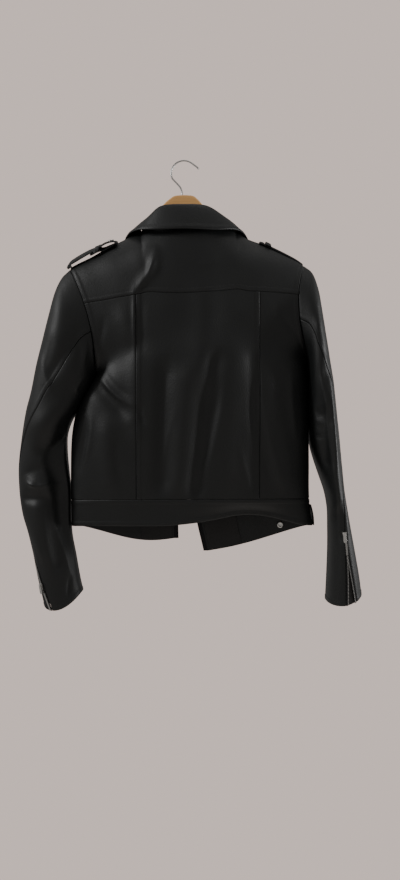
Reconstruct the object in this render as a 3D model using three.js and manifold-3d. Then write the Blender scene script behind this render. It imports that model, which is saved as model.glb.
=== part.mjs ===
// Leather biker jacket hanging on a wooden hanger, in millimetres, +Z up.
// X runs across the shoulders, -Y is the wearer's back, +Y the wearer's front.
// The origin is the inner top of the hook, where the hanger rests on a rail or nail.
import * as THREE from 'three';
import Module from 'manifold-3d';
import { mergeVertices } from 'three/addons/utils/BufferGeometryUtils.js';

// ---- driving sizes -------------------------------------------------------------------
const LEATHER = 1.4;
const TAPE = 0.9;
const SEAM_GAP = 0.3;
const PLY_GAP = 0.4;
const ARMHOLE_STEPS = 24;
const HALF_HOLE = ARMHOLE_STEPS / 2;
const YOKE_ROW = 5 / 12;
const YOKE_DIP = 12;
const BAND_ROW = 2.0;
const HEM_ROW = 2.25;
const WOOD_THICK = 12;
const WIRE_RADIUS = 1.4;
const HOOK_RADIUS = 21.8;

// Shoulder points, where the top line meets the armholes.
const SHOULDERS = { left: [-193, 0, -184.5], right: [202.3, 0, -178] };

// Shoulder and neck line along the top of the body: columns x, z.
const TOP_LINE = [
  [-193, -184.5], [-187, -178], [-157, -162.5], [-140, -152.5], [-126, -144.5], [-115, -139.5],
  [-100, -132], [-72, -117.5], [-40, -121], [8, -124], [56, -122], [88, -118.5], [107, -131],
  [135, -141.3], [155, -150.4], [174, -160], [190, -168.8], [202.3, -178],
];
const NECK = { left: -72, right: 88 };

// Side seams of the body: columns row, left x, left z, right x, right z.
const BODY = [
  [0.00, -193.0, -184.5, 202.3, -178.0],
  [0.50, -170.0, -272.0, 205.0, -254.0],
  [1.00, -148.4, -359.6, 209.1, -330.7],
  [1.10, -158.8, -383.0, 209.7, -355.0],
  [1.22, -172.7, -407.5, 210.0, -384.0],
  [1.29, -179.4, -423.0, 210.2, -401.5],
  [1.35, -184.6, -437.0, 210.4, -416.0],
  [1.50, -189.5, -470.0, 210.8, -452.0],
  [1.75, -191.0, -523.0, 211.2, -512.0],
  [2.00, -190.8, -575.0, 211.8, -572.0],
  [2.25, -190.0, -619.0, 218.0, -618.0],
];

// Centre line of the back: columns row, depth, height above the straight row.
const BACK_CENTRE = [
  [0.00, 44, 0], [0.10, 50, 0], [0.25, 55, 0], [0.42, 59, 0], [0.70, 62, 0], [1.00, 64, 0],
  [1.50, 58, 0], [1.75, 54, 0], [2.00, 50, 3], [2.25, 49, 0],
];

// How far the hem of the back is drawn up and in, most right of the middle: columns across, lift.
const HEM_LIFT = [
  [0, 0], [0.24, 3], [0.35, 3.5], [0.44, 4.5], [0.51, 8.7], [0.565, 14.3], [0.615, 20],
  [0.665, 20.8], [0.70, 18.9], [0.735, 15.4], [0.77, 11], [0.85, 3.6], [1, 0],
];
const HEM_TURN = 0.5;

// Front edges, first along the lapel's roll, then down to the hem: columns row, x, y, z.
const EDGE_LEFT = [
  [0.00, -72, 0, -118], [0.15, -66, 20, -136], [0.30, -58, 33, -162], [0.50, -47, 40, -205],
  [0.75, -36, 43, -265], [1.00, -27, 44, -330], [1.25, -22, 44.5, -392], [1.50, -20, 44.5, -455],
  [1.75, -19, 44.5, -520], [2.00, -19, 44.5, -588], [2.25, -18, 44.5, -646],
];
const EDGE_RIGHT = [
  [0.00, 88, 0, -119.5], [0.15, 82, 20, -137], [0.30, 74, 33, -163], [0.50, 62, 40, -205],
  [0.75, 48, 43, -262], [1.00, 36, 44, -325], [1.25, 29, 44.5, -390], [1.50, 24, 44.5, -455],
  [1.75, 22, 44.5, -522], [2.00, 26, 44.5, -598], [2.25, 41, 44.5, -668],
];

// How far the lower edge of each front hangs below a straight line.
const FRONT_SAG = { left: 12, right: 5 };

// Sleeves: rings from armhole to cuff, columns row, outer x, outer z, inner x, inner z,
// depth towards the back, depth towards the front, bow towards the body, sag of the cuff.
const SLEEVE_LEFT = [
  [0, -193.0, -184.5, -148.4, -359.6, 42, 36, 14, 0],
  [1, -207.4, -199.8, -153.9, -369.8, 47, 39, 8, 0],
  [2, -217.6, -223.6, -160.2, -384.3, 50, 41, 4, 0],
  [3, -227.8, -262.7, -170.3, -402.1, 50, 42, 2, 0],
  [4, -238.0, -303.5, -180.9, -421.8, 48, 42, 0, 0],
  [5, -248.2, -344.3, -193.5, -444.6, 46, 42, 0, 0],
  [6, -257.6, -390.2, -198.6, -468.4, 44, 40, 0, 0],
  [7, -266.9, -425.9, -198.2, -499.0, 40, 38, 0, 0],
  [8, -274.6, -473.5, -195.4, -526.2, 36, 35, 0, 0],
  [9, -278.8, -517.7, -192.6, -555.1, 33, 33, 0, 0],
  [10, -278.3, -558.5, -192.2, -580.6, 32, 32, 0, 0],
  [11, -272.9, -597.6, -191.8, -609.5, 32, 32, 0, 0],
  [12, -263.5, -629.9, -189.6, -636.7, 31, 31, 0, 0],
  [13, -253.3, -670.7, -183.4, -669.0, 31, 31, 0, 1],
  [14, -245.7, -711.5, -177.7, -701.6, 30, 31, 0, 6],
  [15, -235.5, -754.0, -171.7, -729.6, 30, 31, 0, 13],
];
const SLEEVE_RIGHT = [
  [0, 202.3, -178.0, 209.1, -330.7, 42, 36, -16, 0],
  [1, 216.8, -190.5, 210.5, -347.7, 50, 40, -8, 0],
  [2, 225.2, -215.1, 210.7, -366.4, 55, 42, -4, 0],
  [3, 230.6, -245.7, 210.9, -385.1, 58, 43, -2, 0],
  [4, 236.4, -286.5, 211.0, -405.5, 60, 44, 0, 0],
  [5, 242.3, -323.9, 211.3, -429.3, 61, 44, 0, 0],
  [6, 250.0, -371.5, 211.9, -456.5, 61, 44, 0, 0],
  [7, 254.7, -422.5, 214.4, -483.7, 60, 44, 0, 0],
  [8, 260.2, -470.1, 220.9, -507.5, 57, 44, 0, 0],
  [9, 264.6, -517.7, 230.4, -534.7, 55, 43, 0, 0],
  [10, 268.7, -558.5, 239.7, -561.9, 53, 42, 0, 0],
  [11, 275.2, -595.9, 244.5, -589.1, 51, 42, 0, 0],
  [12, 282.2, -633.3, 245.1, -623.1, 49, 42, 0, 0],
  [13, 289.0, -669.0, 244.8, -657.1, 48, 41, 0, 1],
  [14, 294.9, -701.3, 243.1, -699.9, 47, 40, 0, 3],
  [15, 299.2, -731.9, 240.9, -746.0, 46, 40, 0, 6],
];
const SLEEVE_ROWS = 15;

// The back of each sleeve tucks in beside a long fold: columns row, share across at the fold, depth.
const TUCK_LEFT = [
  [5, 0.88, 0], [6, 0.82, 5], [7, 0.69, 11], [8, 0.52, 13], [9, 0.62, 13], [10, 0.68, 12], [11, 0.70, 11],
  [12, 0.75, 8], [13, 0.82, 4], [14, 0.9, 0],
];
const TUCK_RIGHT = [
  [3.5, 0.6, 0], [5, 0.55, 5], [6, 0.5, 9], [7, 0.5, 9], [8, 0.55, 6], [9, 0.6, 2], [10, 0.6, 0],
];

// Seams round the sleeves as turns from the outer edge: columns row, under side, upper side.
// The two columns part where a cuff zip sits between the pieces.
const SEAM_LEFT = [
  [0, 7 / 24, 7 / 24], [2, 0.282, 0.282], [3.5, 0.266, 0.266], [4.6, 0.25, 0.25],
  [5.7, 0.208, 0.208], [7, 0.148, 0.148], [8, 0.091, 0.091], [9.6, 0.02, 0.02],
  [11.5, 0.015, 0.015], [12.9, 0.035, 0.035], [13.6, 0.105, 0.069], [15, 0.176, 0.14],
];
const SEAM_RIGHT = [
  [0, 7 / 24, 7 / 24], [3, 0.25, 0.25], [4.6, 0.2, 0.2], [5.7, 0.148, 0.148],
  [7, 0.105, 0.105], [8, 0.095, 0.095], [9, 0.131, 0.131], [10.5, 0.198, 0.198],
  [12.2, 0.248, 0.248], [12.9, 0.262, 0.226], [15, 0.27, 0.162],
];
const FRONT_SEAM = 15 / 24;

// Large folds of the back: columns x and z of both ends, width, height (a trough is below 0).
const BACK_FOLDS = [
  [-102, -258, -82, -318, 17, 5.0],
  [-80, -330, -78, -480, 12, 2.5],
  [38, -200, 36, -400, 26, 5.0],
  [-30, -345, -34, -560, 15, -6.5],
  [10, -350, -8, -565, 17, 4.0],
  [52, -330, 18, -570, 14, -6.5],
  [86, -300, 70, -560, 22, 4.0],
  [-146, -378, -92, -436, 13, -6.0],
  [136, -360, 170, -560, 20, 5.0],
  [112, -330, 118, -560, 10, -3.0],
  [-128, -440, -120, -565, 16, 4.0],
];
// Large folds of the fronts, in the same columns.
const FRONT_FOLDS = [
  [-120, -250, -90, -420, 20, 3.0],
  [-108, -380, -114, -560, 13, -4.0],
  [-148, -470, -142, -600, 13, -3.5],
  [128, -380, 134, -590, 14, -4.0],
  [140, -260, 120, -430, 20, 3.0],
  [160, -460, 168, -600, 16, -4.0],
];
// Large folds of the sleeves' backs and fronts, in the same columns.
const SLEEVE_FOLDS = [
  [-176, -440, -236, -500, 13, -9.0],
  [-176, -408, -252, -462, 20, 6.0],
  [-262, -542, -222, -552, 10, 5.0],
  [-270, -570, -226, -572, 9, -5.0],
  [-243, -560, -240, -680, 15, 4.5],
  [-218, -560, -206, -690, 11, -6.0],
  [-200, -230, -214, -330, 22, 5.0],
  [-168, -300, -222, -372, 12, -4.0],
  [236, -368, 246, -440, 9, 4.5],
  [246, -440, 252, -590, 8, 4.5],
  [232, -420, 236, -520, 8, -4.5],
  [222, -270, 230, -360, 12, 4.0],
  [258, -575, 262, -640, 7, -3.5],
];

// Collar, round the neck from the left gorge to the right: the roll line on top of the
// stand, and the free edge of the fall. Columns turn, x, y, z.
const ROLL_LINE = [
  [0.00, -62, 37, -158], [0.10, -73, 24, -131], [0.20, -72, 4, -114], [0.30, -54, -20, -98],
  [0.40, -36, -35, -86.2], [0.50, 3, -41, -85.3], [0.60, 37, -35, -85.9], [0.70, 61, -20, -96.6],
  [0.80, 81, 4, -112], [0.90, 81, 24, -130.5], [1.00, 68, 37, -158],
];
const FALL_EDGE = [
  [0.00, -104, 41.5, -172], [0.10, -108, 29, -148], [0.20, -99, 2, -127.5],
  [0.30, -79, -29, -121.5], [0.40, -48, -49, -127], [0.50, 3, -58, -129], [0.60, 54, -49, -128],
  [0.70, 88, -29, -120], [0.80, 107, 3, -127], [0.90, 117, 29, -148], [1.00, 110, 41.5, -172],
];
const NECK_SEAM = [
  [0.00, -61, 31, -157], [0.10, -67.5, 16, -132], [0.20, -70.5, -5, -118], [0.30, -56.5, -29, -121.5],
  [0.40, -28, -41, -122.8], [0.50, 8, -44.5, -123.6], [0.60, 44, -41, -122.8], [0.70, 72.5, -29, -121],
  [0.80, 86, -5, -118.5], [0.90, 83, 16, -133], [1.00, 77, 31, -157],
];

// Epaulets: centre line of each strap from the armhole, columns step, x, z, droop of the back edge.
// The left strap arches off the shoulder at its end, where it folds back under itself.
const EPAULET_LEFT = [
  [0, -193.5, -181.5, 2], [1, -195.6, -175.5, 5], [2, -192.5, -169.3, 7], [3, -184, -163.2, 8],
  [4, -172, -156.0, 8], [5, -158, -148.9, 7], [6, -146, -145.0, 5], [7, -137.5, -140.0, 2],
  [8, -130, -136.9, 1], [9, -122.5, -135.5, 1], [10, -117.2, -135.2, 1], [11, -113.6, -137.3, 2],
  [12, -117.0, -139.9, 3], [13, -126, -143.6, 5], [14, -134, -146.9, 6], [15, -141.5, -147.8, 6],
  [16, -150, -150.6, 7], [17, -157, -153.4, 7.5],
];
const EPAULET_RIGHT = [
  [0, 201, -174.6, 9.7], [1, 190, -166.9, 9.7], [2, 174, -158.1, 9.7], [3, 155, -148.6, 9.7],
  [4, 143, -143.0, 9.7], [5, 134.5, -139.3, 9.7], [6, 128, -136.8, 9.7],
];
const EPAULETS = {
  l: {
    table: EPAULET_LEFT, back: -18, front: 14, tilt: 0.25, fall: 0, thick: 1.6, out: 1,
    keeper: 6, slack: 0, hang: 7, snap: 8.8, snapY: -2,
  },
  r: {
    table: EPAULET_RIGHT, back: -10, front: 24, tilt: 0, fall: 5.5, thick: 1.4, out: -1,
    keeper: 4, slack: 3.2, hang: 2.2, snap: 5.3, snapY: 6,
  },
};
const STRAP_HALF = 18;

// Hanger outline, from the left end along the top and back below: columns x, z.
const HANGER_TOP = [
  [-181, -183], [-157, -170], [-126, -153.5], [-100, -141], [-72, -128], [-52, -97], [-36, -75.5],
  [-24, -64.5], [-13, -58.8], [12, -58.6], [22, -64], [32, -75], [52, -99], [88, -128],
  [107, -139.5], [135, -151], [155, -158], [174, -168], [190, -179],
];
const HANGER_BELOW = [
  [192, -190], [174, -187], [135, -168], [88, -148], [40, -124], [0, -112], [-40, -124],
  [-88, -152], [-126, -174], [-160, -192], [-181, -196],
];

// Hook: wire centre line at its flared tip, and from the end of the arc into the wood, columns x, z.
const HOOK_TIP = [[25.2, -13.2], [21.9, -9.6], [18.0, -6.6]];
const HOOK_TAIL = [[-19.5, -29.5], [-13.0, -36.5], [-6.5, -44.0], [-3.6, -52], [-3.4, -60], [-3.4, -69]];

// ---- small maths ---------------------------------------------------------------------
const add = (a, b, k = 1) => [a[0] + b[0] * k, a[1] + b[1] * k, a[2] + b[2] * k];
const sub = (a, b) => [a[0] - b[0], a[1] - b[1], a[2] - b[2]];
const mix = (a, b, k) => a + (b - a) * k;
const clamp = (value, low, high) => Math.min(high, Math.max(low, value));

function cross(a, b) {
  return [a[1] * b[2] - a[2] * b[1], a[2] * b[0] - a[0] * b[2], a[0] * b[1] - a[1] * b[0]];
}

function unit(a) {
  const length = Math.hypot(a[0], a[1], a[2]) || 1;
  return [a[0] / length, a[1] / length, a[2] / length];
}

function smooth(low, high, value) {
  const k = clamp((value - low) / (high - low), 0, 1);
  return k * k * (3 - 2 * k);
}

// A row between the rows of a table, on a smooth curve through them.
function look(table, at) {
  const last = table.length - 1;
  const t = clamp(at, table[0][0], table[last][0]);
  let i = 0;
  while (i < last - 1 && t > table[i + 1][0]) i += 1;
  const a = table[i];
  const b = table[i + 1];
  const before = table[Math.max(i - 1, 0)];
  const after = table[Math.min(i + 2, last)];
  const span = b[0] - a[0];
  const k = (t - a[0]) / span;
  const row = [];
  for (let c = 1; c < a.length; c += 1) {
    const slopeA = i > 0 ? (b[c] - before[c]) / (b[0] - before[0]) : (b[c] - a[c]) / span;
    const slopeB = i < last - 1 ? (after[c] - a[c]) / (after[0] - a[0]) : (b[c] - a[c]) / span;
    const k2 = k * k;
    const k3 = k2 * k;
    const start = (2 * k3 - 3 * k2 + 1) * a[c] + (k3 - 2 * k2 + k) * slopeA * span;
    const end = (3 * k2 - 2 * k3) * b[c] + (k3 - k2) * slopeB * span;
    row.push(start + end);
  }
  return row;
}

// The same for tables whose columns run straight from row to row.
function lookStraight(table, at) {
  const last = table.length - 1;
  const t = clamp(at, table[0][0], table[last][0]);
  let i = 0;
  while (i < last - 1 && t > table[i + 1][0]) i += 1;
  const k = (t - table[i][0]) / (table[i + 1][0] - table[i][0]);
  return table[i].slice(1).map((value, c) => mix(value, table[i + 1][c + 1], k));
}

function steps(from, to, count) {
  return Array.from({ length: count + 1 }, (_, i) => mix(from, to, i / count));
}

// Height of soft ridges and troughs at x, z: each is a line that fades at its sides and ends.
function foldHeight(folds, x, z) {
  let height = 0;
  for (const [x0, z0, x1, z1, wide, high] of folds) {
    const dx = x1 - x0;
    const dz = z1 - z0;
    const length = Math.hypot(dx, dz);
    const along = ((x - x0) * dx + (z - z0) * dz) / length;
    const aside = ((x - x0) * dz - (z - z0) * dx) / length;
    const fade = smooth(-wide, wide * 1.6, along) * smooth(-wide, wide * 1.6, length - along);
    height += high * fade * Math.exp(-(aside * aside) / (wide * wide));
  }
  return height;
}

// ---- surfaces ------------------------------------------------------------------------
// A ring of the sleeve: turn 0 is the outer edge, 1/4 the back, 1/2 the inner edge, 3/4 the front.
function sleeveAt(table, turn, row) {
  const [outerX, outerZ, innerX, innerZ, back, front, bow, sag] = look(table, row);
  const across = (1 - Math.cos(2 * Math.PI * turn)) / 2;
  const side = Math.sin(2 * Math.PI * turn);
  const x = mix(outerX, innerX, across) + bow * side * side;
  const z = mix(outerZ, innerZ, across) - sag * side * side;
  const settle = smooth(0.2, 2.5, row) * smooth(0, 0.6, Math.abs(side));
  const fold = foldHeight(SLEEVE_FOLDS, x, z) * settle;
  const blunt = Math.pow(Math.abs(side), mix(1, 0.75, smooth(0.5, 2.5, row)));
  const [ridge, deep] = look(table === SLEEVE_LEFT ? TUCK_LEFT : TUCK_RIGHT, row);
  const beside = clamp((across - ridge) / (1 - ridge), 0, 1);
  const tuck = deep * 4 * beside * (1 - beside);
  const y = side > 0 ? -back * blunt - fold + tuck : front * blunt + fold * 0.35;
  return [x, y, z];
}

function armholeAt(side, turn) {
  return sleeveAt(side === 'left' ? SLEEVE_LEFT : SLEEVE_RIGHT, turn, 0);
}

function topHeight(x) {
  return look(TOP_LINE, x)[0];
}

// Mean depth of both armhole edges over the rows around this one.
function seamDepth(row) {
  let sum = 0;
  for (const shift of [-0.3, -0.15, 0, 0.15, 0.3]) {
    const at = row + shift;
    if (at < 1) sum += armholeAt('left', at / 2)[1] + armholeAt('right', at / 2)[1];
  }
  return sum / 10;
}

// The back: across 0 is the left seam, 1 the right; rows run from the shoulder to the hem.
function backAt(across, row) {
  const round = smooth(0.55, 1.2, row);
  const soft = (1 - Math.cos(Math.PI * across)) / 2;
  const k = mix(across, soft, round);
  const body = look(BODY, row);
  const inHole = row < 1;
  const left = inHole ? armholeAt('left', row / 2) : [body[0], 0, body[1]];
  const right = inHole ? armholeAt('right', row / 2) : [body[2], 0, body[3]];
  const x = mix(left[0], right[0], k);
  const [centre, raise] = look(BACK_CENTRE, row);
  const flat = mix(left[2], right[2], across);
  const shoulder = mix(SHOULDERS.left[0], SHOULDERS.right[0], across);
  const lift = topHeight(shoulder) - mix(SHOULDERS.left[2], SHOULDERS.right[2], across);
  const fade = Math.pow(clamp(1 - row, 0, 1), 2);
  const drawn = look(HEM_LIFT, across)[0] * smooth(BAND_ROW, HEM_ROW, row);
  const dip = YOKE_DIP * smooth(0.05, YOKE_ROW, row) * (1 - smooth(YOKE_ROW, 0.95, row));
  const z = flat + lift * fade + (raise - dip) * Math.sin(Math.PI * across) + drawn;
  const inside = smooth(0, 0.25, across) * smooth(0, 0.25, 1 - across) * smooth(0.55, 0.8, row);
  const edge = mix(mix(left[1], right[1], across), seamDepth(row), inside);
  const neckTurn = clamp((shoulder - NECK.left) / (NECK.right - NECK.left), 0, 1);
  const neckBulge = Math.pow(Math.sin(Math.PI * neckTurn), 0.6);
  const wave = Math.sin(Math.PI * clamp(across, 0, 1));
  const bodyBulge = mix(Math.pow(wave, 1.2), Math.pow(wave, 0.72), round);
  const bulge = mix(neckBulge, bodyBulge, smooth(0, 0.3, row));
  const depth = (centre + edge) * bulge;
  const settle = smooth(0, 0.12, across) * smooth(0, 0.12, 1 - across) * smooth(0.05, 0.4, row);
  const fold = foldHeight(BACK_FOLDS, x, z) * settle;
  return [x, edge - depth - fold + drawn * HEM_TURN, z];
}

// A front: across 0 is the side or armhole seam, 1 the front edge.
function frontAt(side, across, row) {
  const body = look(BODY, row);
  const edgeTable = side === 'left' ? EDGE_LEFT : EDGE_RIGHT;
  const hole = side === 'left' ? [body[0], 0, body[1]] : [body[2], 0, body[3]];
  const outer = row < 1 ? armholeAt(side, 1 - row / 2) : hole;
  const inner = look(edgeTable, row);
  const round = smooth(0.55, 1.2, row);
  const soft = 1 - Math.cos((Math.PI / 2) * across);
  const share = mix(across, soft, round * 0.8);
  const x = mix(outer[0], inner[0], share);
  const straight = mix(outer[2], inner[2], share);
  const sag = FRONT_SAG[side] * smooth(1.6, 2.25, row) * Math.sin(Math.PI * Math.pow(share, 1.4));
  const shoulder = mix(outer[0], inner[0], across);
  const shoulderLift = topHeight(shoulder) - mix(outer[2], inner[2], across);
  const z = straight - sag + shoulderLift * Math.pow(clamp(1 - row / 0.5, 0, 1), 2);
  const rise = Math.pow(Math.sin((Math.PI / 2) * clamp(across, 0, 1)), mix(1, 0.62, round));
  const settle = smooth(0, 0.2, across) * smooth(0, 0.15, 1 - across) * smooth(0.1, 0.5, row);
  const fold = foldHeight(FRONT_FOLDS, x, z) * settle;
  return [x, mix(outer[1], inner[1], rise) + fold, z];
}

// ---- walls ---------------------------------------------------------------------------
function normalAt(surface, c, r, box) {
  const e = 2e-3;
  const c0 = Math.max(c - e, box[0]);
  const c1 = Math.min(c + e, box[1]);
  const r0 = Math.max(r - e, box[2]);
  const r1 = Math.min(r + e, box[3]);
  return unit(cross(sub(surface(c1, r), surface(c0, r)), sub(surface(c, r1), surface(c, r0))));
}

// A closed wall on a surface: its outer face is on the surface, its inner face `thick` behind.
// `out` is 1 where columns cross rows point outwards. `pin` may give both points at a seam.
function wall(surface, columns, rows, thick, out = 1, pin = null) {
  const box = [columns[0], columns.at(-1), rows[0], rows.at(-1)];
  const position = [];
  const across = columns.length;
  const down = rows.length;
  const inner = [];
  columns.forEach((c, i) => rows.forEach((r, j) => {
    const held = pin ? pin(i, j, across, down) : null;
    const point = held ? held[0] : surface(c, r);
    const behind = held ? held[1] : add(point, normalAt(surface, c, r, box), -thick * out);
    position.push(...point);
    inner.push(...behind);
  }));
  const outerAt = (i, j) => i * down + j;
  const innerAt = (i, j) => across * down + i * down + j;
  const index = [];
  const quad = (a, b, c, d) => {
    if (out > 0) index.push(a, b, c, a, c, d);
    else index.push(a, c, b, a, d, c);
  };
  for (let i = 0; i < across - 1; i += 1) {
    for (let j = 0; j < down - 1; j += 1) {
      quad(outerAt(i, j), outerAt(i + 1, j), outerAt(i + 1, j + 1), outerAt(i, j + 1));
      quad(innerAt(i, j), innerAt(i, j + 1), innerAt(i + 1, j + 1), innerAt(i + 1, j));
    }
    quad(outerAt(i, 0), innerAt(i, 0), innerAt(i + 1, 0), outerAt(i + 1, 0));
    const e = down - 1;
    quad(outerAt(i, e), outerAt(i + 1, e), innerAt(i + 1, e), innerAt(i, e));
  }
  for (let j = 0; j < down - 1; j += 1) {
    quad(outerAt(0, j), outerAt(0, j + 1), innerAt(0, j + 1), innerAt(0, j));
    const e = across - 1;
    quad(outerAt(e, j), innerAt(e, j), innerAt(e, j + 1), outerAt(e, j + 1));
  }
  const geometry = new THREE.BufferGeometry();
  geometry.setAttribute('position', new THREE.Float32BufferAttribute([...position, ...inner], 3));
  geometry.setIndex(index);
  geometry.computeVertexNormals();
  return geometry;
}

// ---- materials -----------------------------------------------------------------------
const leather = (shade) => new THREE.MeshStandardMaterial({ color: shade, roughness: 0.5, metalness: 0 });
const steel = () => new THREE.MeshStandardMaterial({ color: 0xb9b9bb, roughness: 0.3, metalness: 1 });
const fabric = () => new THREE.MeshStandardMaterial({ color: 0x141416, roughness: 0.9, metalness: 0 });
const wood = () => new THREE.MeshStandardMaterial({ color: 0xb88a58, roughness: 0.6, metalness: 0 });

const jacket = new THREE.Group();

function piece(name, geometry, material) {
  const mesh = new THREE.Mesh(geometry, material);
  mesh.name = name;
  jacket.add(mesh);
  return mesh;
}

// ---- armhole seams -------------------------------------------------------------------
// Both sides of an armhole seam share their chords and the direction of their cut edge.
const HOLE_AXIS = { left: unit([-0.97, 0, -0.25]), right: unit([0.999, 0, 0.045]) };

function holeInward(side, k) {
  const table = side === 'left' ? SLEEVE_LEFT : SLEEVE_RIGHT;
  const mirror = side === 'left' ? 1 : -1;
  const turn = k / ARMHOLE_STEPS;
  const sleeve = normalAt((c, r) => sleeveAt(table, c, r), turn, 0.02, [-1, 2, 0, SLEEVE_ROWS]);
  const onBack = k <= ARMHOLE_STEPS / 2;
  const row = clamp(onBack ? 2 * turn : 2 - 2 * turn, 0.01, 1.0);
  const near = side === 'left' ? 0.004 : 0.996;
  const back = normalAt(backAt, near, row, [0, 1, 0, HEM_ROW]);
  const front = normalAt((c, r) => frontAt(side, c, r), 0.004, row, [0, 1, 0, HEM_ROW]);
  const body = onBack ? back : add([0, 0, 0], front, -mirror);
  const sum = add(body, sleeve, mirror);
  if (k % HALF_HOLE === 0) sum[1] = 0;
  return unit(sum);
}

// Outer and inner point of a seam edge at step k, moved `shift` along the armhole's axis.
function holePoints(side, k, shift, nudge = 0) {
  const turn = k / ARMHOLE_STEPS;
  const point = add(add(armholeAt(side, turn), HOLE_AXIS[side], shift), [0, nudge, 0]);
  return [point, add(point, holeInward(side, k), LEATHER)];
}

// ---- back ----------------------------------------------------------------------------
const HALF_GAP = SEAM_GAP / 2;
const ROW_GAP = 0.0009;
const YOKE_ROWS = steps(0.004, YOKE_ROW - ROW_GAP, 5);
const HOLE_ROWS = steps(YOKE_ROW, 1, 7);
const BODY_ROWS = steps(1, BAND_ROW - ROW_GAP, 13).slice(1);
const BAND_ROWS = steps(BAND_ROW + ROW_GAP, HEM_ROW, 2);
for (let i = 0; i < 5; i += 1) YOKE_ROWS[i] = Math.max(0.004, i / HALF_HOLE);
HOLE_ROWS[0] = YOKE_ROW + ROW_GAP;

// Seams of the centre back: the column of the back whose point lies at this x.
const BACK_SEAM_X = { left: -77, right: 125 };

function seamAcross(side, row) {
  const hole = row < 1;
  const body = look(BODY, row);
  const left = hole ? armholeAt('left', row / 2)[0] : body[0];
  const right = hole ? armholeAt('right', row / 2)[0] : body[2];
  const share = (BACK_SEAM_X[side] - left) / (right - left);
  const round = smooth(0.55, 1.2, row);
  let low = 0;
  let high = 1;
  for (let i = 0; i < 26; i += 1) {
    const middle = (low + high) / 2;
    const reached = mix(middle, (1 - Math.cos(Math.PI * middle)) / 2, round);
    if (reached < share) low = middle;
    else high = middle;
  }
  return (low + high) / 2;
}

const SIDE_COLUMNS = steps(0, 1, 5);
const CENTRE_COLUMNS = steps(0, 1, 12);
const CUT = 0.0004;

// Column values below 1 lie on the left side panel, 1 to 2 on the centre, 2 to 3 on the right.
function backColumn(column, row) {
  const left = seamAcross('left', row);
  const right = seamAcross('right', row);
  if (column <= 1) return left * column;
  if (column <= 2) return mix(left, right, column - 1);
  return mix(right, 1, column - 2);
}

const backPanel = (column, row) => backAt(backColumn(column, row), row);
const ACROSS_BACK = [
  ...SIDE_COLUMNS,
  ...CENTRE_COLUMNS.slice(1).map((c) => 1 + c),
  ...SIDE_COLUMNS.slice(1).map((c) => 2 + c),
];

// Pins the left and right columns of a back panel to the armholes and the side seams.
function pinBack(rows, hasLeft, hasRight) {
  return (i, j, across) => {
    const onLeft = hasLeft && i === 0;
    const onRight = hasRight && i === across - 1;
    if (!onLeft && !onRight) return null;
    const side = onLeft ? 'left' : 'right';
    const row = rows[j];
    if (row > 1.0001) {
      const point = add(backPanel(onLeft ? 0 : 3, row), [0, -HALF_GAP, 0]);
      const inward = onLeft ? LEATHER : -LEATHER;
      return [point, add(point, [inward, 0, 0])];
    }
    const nudge = row < 0.01 || row > 0.999 ? -HALF_GAP * 2 : 0;
    return holePoints(side, (row * ARMHOLE_STEPS) / 2, -HALF_GAP, nudge);
  };
}

const sideRows = [...HOLE_ROWS, ...BODY_ROWS];
const leftSide = SIDE_COLUMNS.map((c) => Math.min(c, 1 - CUT * 3));
const middle = CENTRE_COLUMNS.map((c) => clamp(1 + c, 1 + CUT, 2 - CUT));
const rightSide = SIDE_COLUMNS.map((c) => Math.max(2 + c, 2 + CUT * 3));

piece('yoke', wall(backPanel, ACROSS_BACK, YOKE_ROWS, LEATHER, -1, pinBack(YOKE_ROWS, true, true)),
  leather(0x1b1b1d));
piece('back_side_l', wall(backPanel, leftSide, sideRows, LEATHER, -1, pinBack(sideRows, true, false)),
  leather(0x18181a));
piece('back_centre', wall(backPanel, middle, sideRows, LEATHER, -1), leather(0x1a1a1c));
piece('back_side_r', wall(backPanel, rightSide, sideRows, LEATHER, -1, pinBack(sideRows, false, true)),
  leather(0x18181a));
piece('waistband_back', wall(backPanel, ACROSS_BACK, BAND_ROWS, LEATHER, -1,
  pinBack(BAND_ROWS, true, true)), leather(0x17171a));

// ---- fronts --------------------------------------------------------------------------
const FRONT_COLUMNS = steps(0, 1, 8);
const FRONT_ROWS = [...steps(0, 1, HALF_HOLE), ...BODY_ROWS];
FRONT_ROWS[0] = 0.004;

function pinFront(side, rows) {
  return (i, j) => {
    if (i !== 0) return null;
    const row = rows[j];
    if (row > 1.0001) {
      const point = add(frontAt(side, 0, row), [0, HALF_GAP, 0]);
      const inward = side === 'left' ? LEATHER : -LEATHER;
      return [point, add(point, [inward, 0, 0])];
    }
    const nudge = row < 0.01 || row > 0.999 ? HALF_GAP * 2 : 0;
    return holePoints(side, ARMHOLE_STEPS - (row * ARMHOLE_STEPS) / 2, -HALF_GAP, nudge);
  };
}

for (const side of ['left', 'right']) {
  const end = side === 'left' ? 'l' : 'r';
  const out = side === 'left' ? 1 : -1;
  const surface = (c, r) => frontAt(side, c, r);
  piece(`front_${end}`, wall(surface, FRONT_COLUMNS, FRONT_ROWS, LEATHER, out,
    pinFront(side, FRONT_ROWS)), leather(0x1a1a1c));
  piece(`waistband_front_${end}`, wall(surface, FRONT_COLUMNS, BAND_ROWS, LEATHER, out,
    pinFront(side, BAND_ROWS)), leather(0x17171a));
}

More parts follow.
